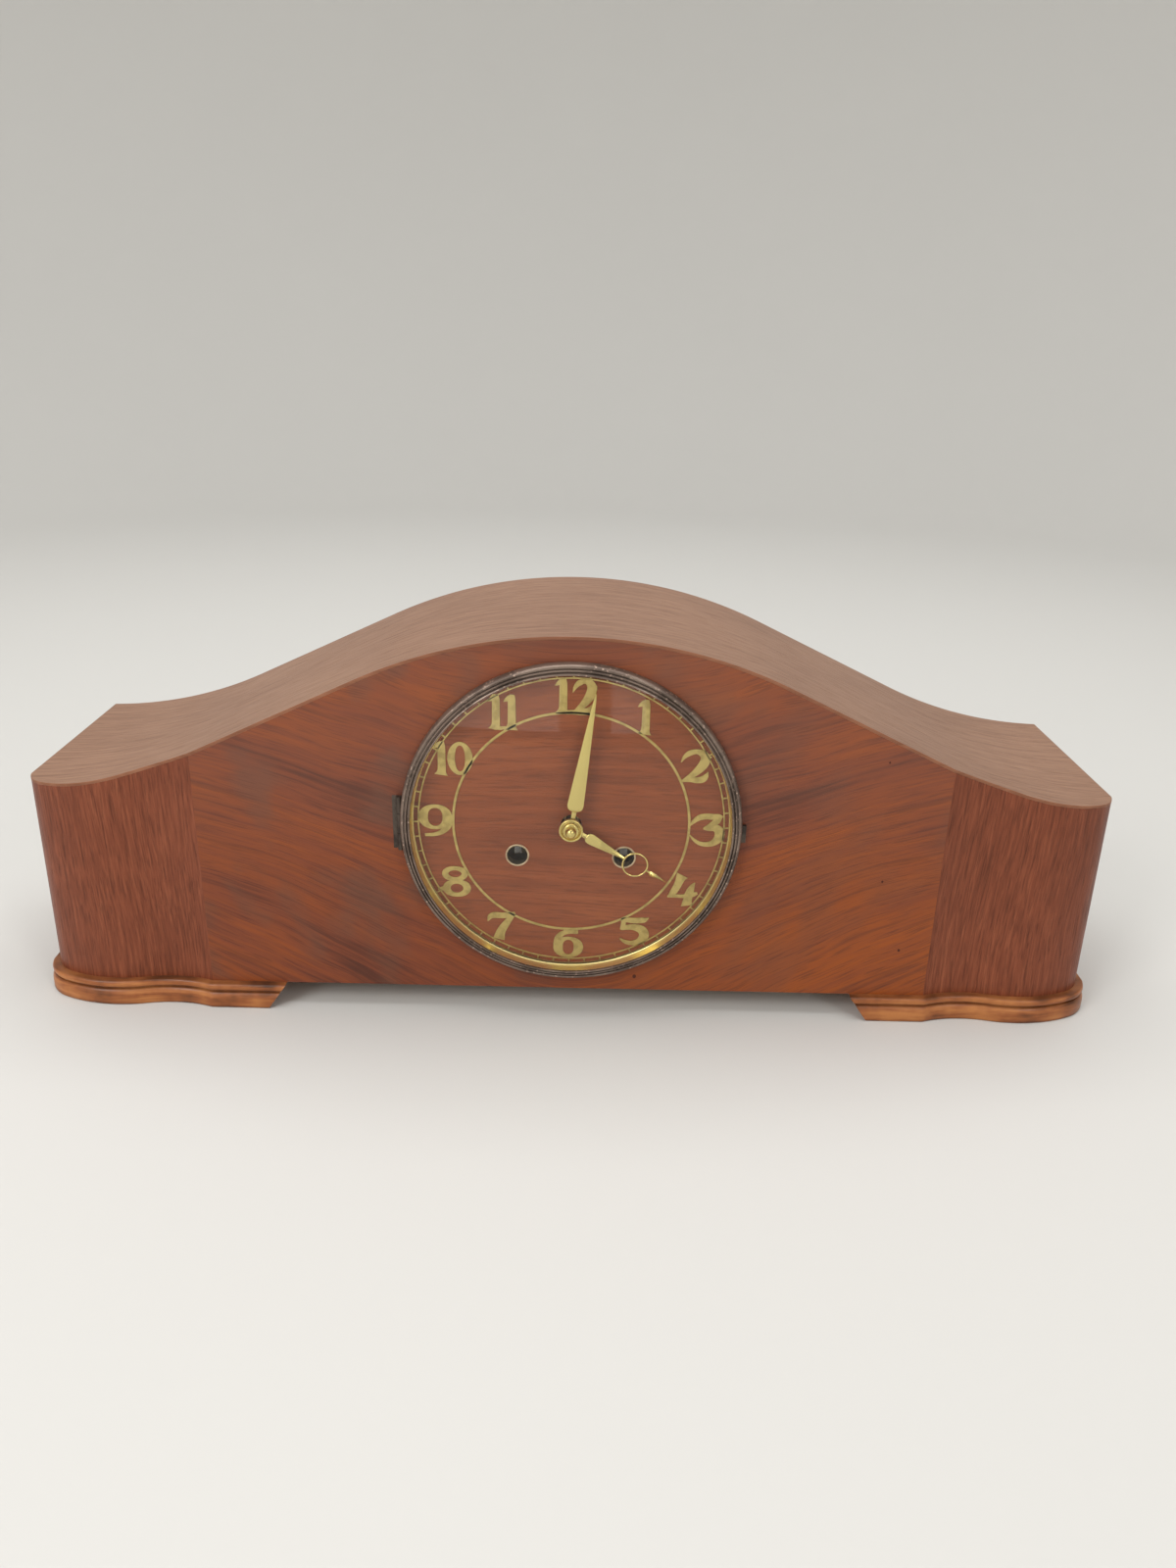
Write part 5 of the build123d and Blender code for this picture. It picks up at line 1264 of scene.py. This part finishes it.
@dataclass
class Hands(Assembly):
    """The hands with their dished washer and domed nut.

    A blade is given as pairs of a place along the hand and its half width there.
    """

    thickness: float = 0.9
    edge: float = 0.15
    thinnest: float = 0.1
    ridge_reserve: float = 0.25
    hub_ease: float = 0.2
    minute_turn: float = 81.3
    minute_back: float = 5.0
    minute_hub: Pair = (1.85, 4.2)
    minute_blade: Pairs = (
        (3.4, 1.05), (8.9, 1.05), (9.3, 1.35), (9.9, 2.6), (10.9, 3.4), (12.4, 3.7), (14.5, 3.65),
        (30.0, 2.75), (48.0, 1.65), (62.0, 0.75), (69.0, 0.12))
    hour_turn: float = -30.725
    hour_back: float = 3.0
    hour_hub: Pair = (2.65, 5.0)
    hour_blade: Pairs = (
        (4.2, 1.05), (8.0, 1.05), (8.5, 1.3), (9.2, 2.2), (10.4, 2.6), (12.0, 2.6), (20.0, 1.7), (29.7, 0.5))
    hour_tip: Pairs = ((41.4, 0.45), (42.6, 0.55), (43.8, 0.9), (45.2, 1.05), (48.2, 0.8), (53.5, 0.12))
    ring_place: float = 35.6
    ring_radius: float = 5.9
    ring_wire: float = 0.45
    ring_flatness: float = 0.9
    turned_sides: int = 96
    washer_seat: float = 5.4
    washer_height: float = 2.0
    washer_bead: Place = (5.1, 0.35, 0.65)
    washer_dome: tuple[float, float, float, float] = (3.0, 0.5, 1.1, 1.5)
    nut_wall: Pairs = ((0.0, 0.0), (2.4, 0.0), (2.65, 0.25), (2.65, 1.3))
    nut_dome: Pair = (2.35, 1.7)

    def laid(self, along: Points, across: Points, up: Points, turn: float, back: float) -> Points:
        """Points given along, across and up from a hand's back, turned about the dial's centre."""
        way = radians(turn)
        x = self.centre[0] + along * cos(way) - across * sin(way)
        z = self.centre[2] + along * sin(way) + across * cos(way)
        return stacked(x, self.face - back - up, z)

    def blade(self, shell: Shell, stations: Pairs, turn: float, back: float) -> None:
        """Add a ridged blade: a roof-shaped section carried along the hand, its ridge falling as it narrows.

        Args:
            shell: Shell of the hand.
            stations: Places along the hand with the half width there.
            turn: Direction of the hand, in degrees.
            back: How far its back stands before the face of the case.
        """
        run = flowing(np.array(stations), 6)
        along, half = run[:, 0], np.maximum(run[:, 1], self.thinnest)
        fullness = np.clip(half / half.max() + self.ridge_reserve, 0, 1)
        flat = 0 * along
        heights = stacked(flat, flat, flat + self.edge, self.edge + (self.thickness - self.edge) * fullness,
                          flat + self.edge)
        sides = np.array([-1, 1, 1, 0, -1])
        shell.tube(self.laid(along[:, None] + 0 * heights, half[:, None] * sides, heights, turn, back))

    def hub(self, shell: Shell, size: Pair, back: float) -> None:
        """Add a round hub, with the radii of its hole and its rim, to a shell."""
        section = rectangle(*size, self.face - back, self.face - back - self.thickness)
        shell.turned(eased(section, self.hub_ease, 2), self.centre, 64)

    def minute(self) -> None:
        """Minute hand: hub and one long ridged blade."""
        shell = Shell()
        self.hub(shell, self.minute_hub, self.minute_back)
        self.blade(shell, self.minute_blade, self.minute_turn, self.minute_back)
        self.piece(shell.mesh("long_hand"), "hand_brass", "bright_brass", ["minute_hand"], "minute_train")

    def hour(self) -> None:
        """Hour hand: hub, ridged blade, tip and wire ring, a small circle carried round a large one."""
        shell = Shell()
        self.hub(shell, self.hour_hub, self.hour_back)
        for stations in (self.hour_blade, self.hour_tip):
            self.blade(shell, stations, self.hour_turn, self.hour_back)
        large, small = around(72)[:, None], around(12)
        reach = self.ring_radius + self.ring_wire * np.cos(small)
        along, across = self.ring_place + reach * np.cos(large), reach * np.sin(large)
        up = self.ring_wire * (1 + np.sin(small)) * self.ring_flatness + 0 * across
        shell.grid(self.laid(along, across, up, self.hour_turn, self.hour_back), True, True)
        self.piece(shell.mesh("short_hand"), "hand_brass", "bright_brass", ["hour_hand"], "hour_train")

    def washer_and_nut(self) -> None:
        """Dished washer and domed nut, turned from profiles of (radius, place along the axis)."""
        start = self.face - self.minute_back - self.thickness
        seat = start - self.washer_height
        radius, rise, bead = self.washer_bead
        rim = arc((radius, start - rise), (bead, -bead), between(0, pi, 9))
        radius, rise, reach, height = self.washer_dome
        dome = arc((radius, start - rise), (reach, -height), between(0, QUARTER, 8))
        bore = self.minute_hub[0]
        profile = np.vstack([[bore, start], [self.washer_seat, start], rim, dome, [bore, seat]])
        washer = Shell()
        washer.turned(profile, self.centre, self.turned_sides)
        self.piece(washer.mesh("dished_washer"), "hand_brass", "bright_brass", ["hand_washer"],
                   "minute_train")
        radius, height = self.nut_dome
        dome = arc((0, height), (radius, height), between(0, QUARTER, 9))
        profile = np.vstack([self.nut_wall, dome])
        nut = Shell()
        nut.turned(stacked(profile[:, 0], seat - profile[:, 1]), self.centre, self.turned_sides, closed=False)
        self.piece(nut.mesh("domed_nut"), "hand_brass", "bright_brass", ["hand_nut"], "minute_train")

    def build(self) -> None:
        """Make and dress the hands."""
        self.minute()
        self.hour()
        self.washer_and_nut()


@dataclass
class Movement(Assembly):
    """The movement behind the dial, the pendulum, the hammers and the gong."""

    def build(self) -> None:
        """Dress the flat pieces, and stand smooth copies in for the round ones."""
        self.dress("plate_brass", "front_plate", "back_plate", "pendulum_cock")
        self.dress("steel", "movement_straps", "ratchet_clicks")
        self.dress("blued_steel", "suspension_spring")
        self.dress("cast_iron", "gong_block")
        behaviour = frame["record"]["behaviour"]
        bodies = {node: body for body, nodes in behaviour["bodies"].items() for node in nodes}
        smooth = (
            ("steel", "steel", ("plate_pillars", "pillar_nuts", "cannon_pinion", "anchor", "pendulum_rod",
                                "hammer_arms")),
            # painted shade: the winding arbors take near-black steel that stands for the shade in the winding
            # holes
            ("dark_steel", "steel", ("time_winding_arbor", "strike_winding_arbor")),
            ("wheel_brass", "movement_brass", ("time_barrel", "strike_barrel", "centre_wheel", "third_wheel",
                                               "escape_wheel", "minute_wheel", "hour_wheel", "pendulum_bob",
                                               "hammer_heads")),
            ("gong_bronze", "gong_bronze", ("gong_rods",)),
        )
        for finish, slot, nodes in smooth:
            for node in nodes:
                self.smooth_copy(node, finish, slot, bodies[node])


@dataclass(frozen=True)
class Lamp:
    """Soft rectangular lamp that the camera doesn't see, turned to an aim. Lengths are metres."""

    name: str
    place: Place
    size: Pair
    power: float
    aim: Place = (0, 0, 0.1)

    def make(self) -> None:
        """Put the lamp in the scene."""
        data = bpy.data.lights.new(self.name, "AREA")
        data.shape, data.energy = "RECTANGLE", self.power
        data.size, data.size_y = self.size
        made = placed(self.name, data)
        made.location = self.place
        made.rotation_euler = (Vector(self.aim) - Vector(self.place)).to_track_quat("-Z", "Y").to_euler()
        made.visible_camera = False


@dataclass(frozen=True)
class Studio:
    """Pale floor that curves up all round, soft lights and the photograph's camera.

    The lights are a window to the left, a taller one to the right, a wide ceiling lamp, two dim
    panels near the floor that show in the glass, and an even sky.
    """

    focal_length: float = 27.05
    sensor: float = 36.0
    clip: Pair = (0.01, 50.0)
    place: Place = (5.48, -564.58, 326.11)
    yaw: float = 0.00391
    pitch: float = 0.38185
    roll: float = 0.02339
    floor_reach: float = 1500.0
    floor_curve: float = 900.0
    floor_rise: float = 2600.0
    floor_sides: int = 128
    floor_colour: Colour = (0.62, 0.61, 0.585)
    floor_shade: float = 0.97
    floor_gloss: float = 0.85
    sky_colour: Colour = (1.0, 0.985, 0.95)
    sky_strength: float = 0.55
    lamps: tuple[Lamp, ...] = (
        Lamp("window_left", (-1.05, -1.25, 1.15), (0.75, 1.0), 16.0),
        Lamp("window_right", (0.95, -1.35, 1.0), (0.35, 0.9), 6.0),
        Lamp("ceiling", (0.0, 0.2, 1.9), (2.2, 1.6), 28.0),
        Lamp("low_panel_left", (-0.42, -1.30, 0.20), (0.72, 0.26), 0.60),
        Lamp("low_panel_right", (0.24, -1.30, 0.20), (0.16, 0.26), 0.14),
    )

    def camera(self) -> None:
        """Camera with the photograph's place, turn and field of view."""
        forward = Vector((sin(self.yaw) * cos(self.pitch), cos(self.yaw) * cos(self.pitch), -sin(self.pitch)))
        level = Vector((cos(self.yaw), -sin(self.yaw), 0))
        up = level.cross(forward)
        right = level * cos(self.roll) + up * sin(self.roll)
        above = up * cos(self.roll) - level * sin(self.roll)
        data = bpy.data.cameras.new("camera")
        data.lens, data.sensor_width = self.focal_length, self.sensor
        data.clip_start, data.clip_end = self.clip
        made = placed("camera", data)
        turn = Matrix((right, above, -forward)).transposed().to_4x4()
        made.matrix_world = Matrix.Translation(Vector(self.place) * MM) @ turn
        bpy.context.scene.camera = made

    def floor(self) -> None:
        """Floor: a flat disc whose edge rises along a quarter circle, turned round the upright axis."""
        flat, rise = between(0, self.floor_reach, 6), between(0, QUARTER, 24)[1:]
        bend = self.floor_curve
        curve = stacked(self.floor_reach + bend * np.sin(rise), bend * (1 - np.cos(rise)))
        wall = [self.floor_reach + bend, self.floor_rise]
        profile = np.vstack([stacked(flat, 0 * flat), curve, wall])
        shell = Shell()
        shell.grid(lathed(profile, (0, 0, 0), self.floor_sides, Axis.UP), loop_columns=True)
        mesh = shell.mesh("floor")
        recipe = Recipe("pale_floor")
        shaded = tuple(self.floor_shade * part for part in self.floor_colour)
        colour = recipe.noise(recipe.place, 2.0, 2.0).mix(self.floor_colour, shaded)
        mesh.materials.append(recipe.surface(colour, self.floor_gloss))
        placed("floor", mesh)

    def sky(self) -> None:
        """Even light from all round."""
        world = bpy.data.worlds.new("world")
        bpy.context.scene.world = world
        world.use_nodes = True
        background = world.node_tree.nodes["Background"]
        background.inputs[0].default_value = (*self.sky_colour, 1)
        background.inputs[1].default_value = self.sky_strength

    def build(self) -> None:
        """Set up the studio."""
        self.camera()
        self.floor()
        for lamp in self.lamps:
            lamp.make()
        self.sky()
        bpy.context.scene.view_settings.view_transform = "Standard"


def main() -> None:
    """Build the studio and every sub-assembly in order."""
    logging.basicConfig(level=logging.INFO, format="%(message)s")
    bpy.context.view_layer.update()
    Studio().build()
    finishes = Finishes()
    for assembly in (Case, Dial, Bezel, Hands, Movement):
        LOG.info("building %s", assembly.__name__)
        assembly(finishes).build()


if __name__ == "__main__":
    main()
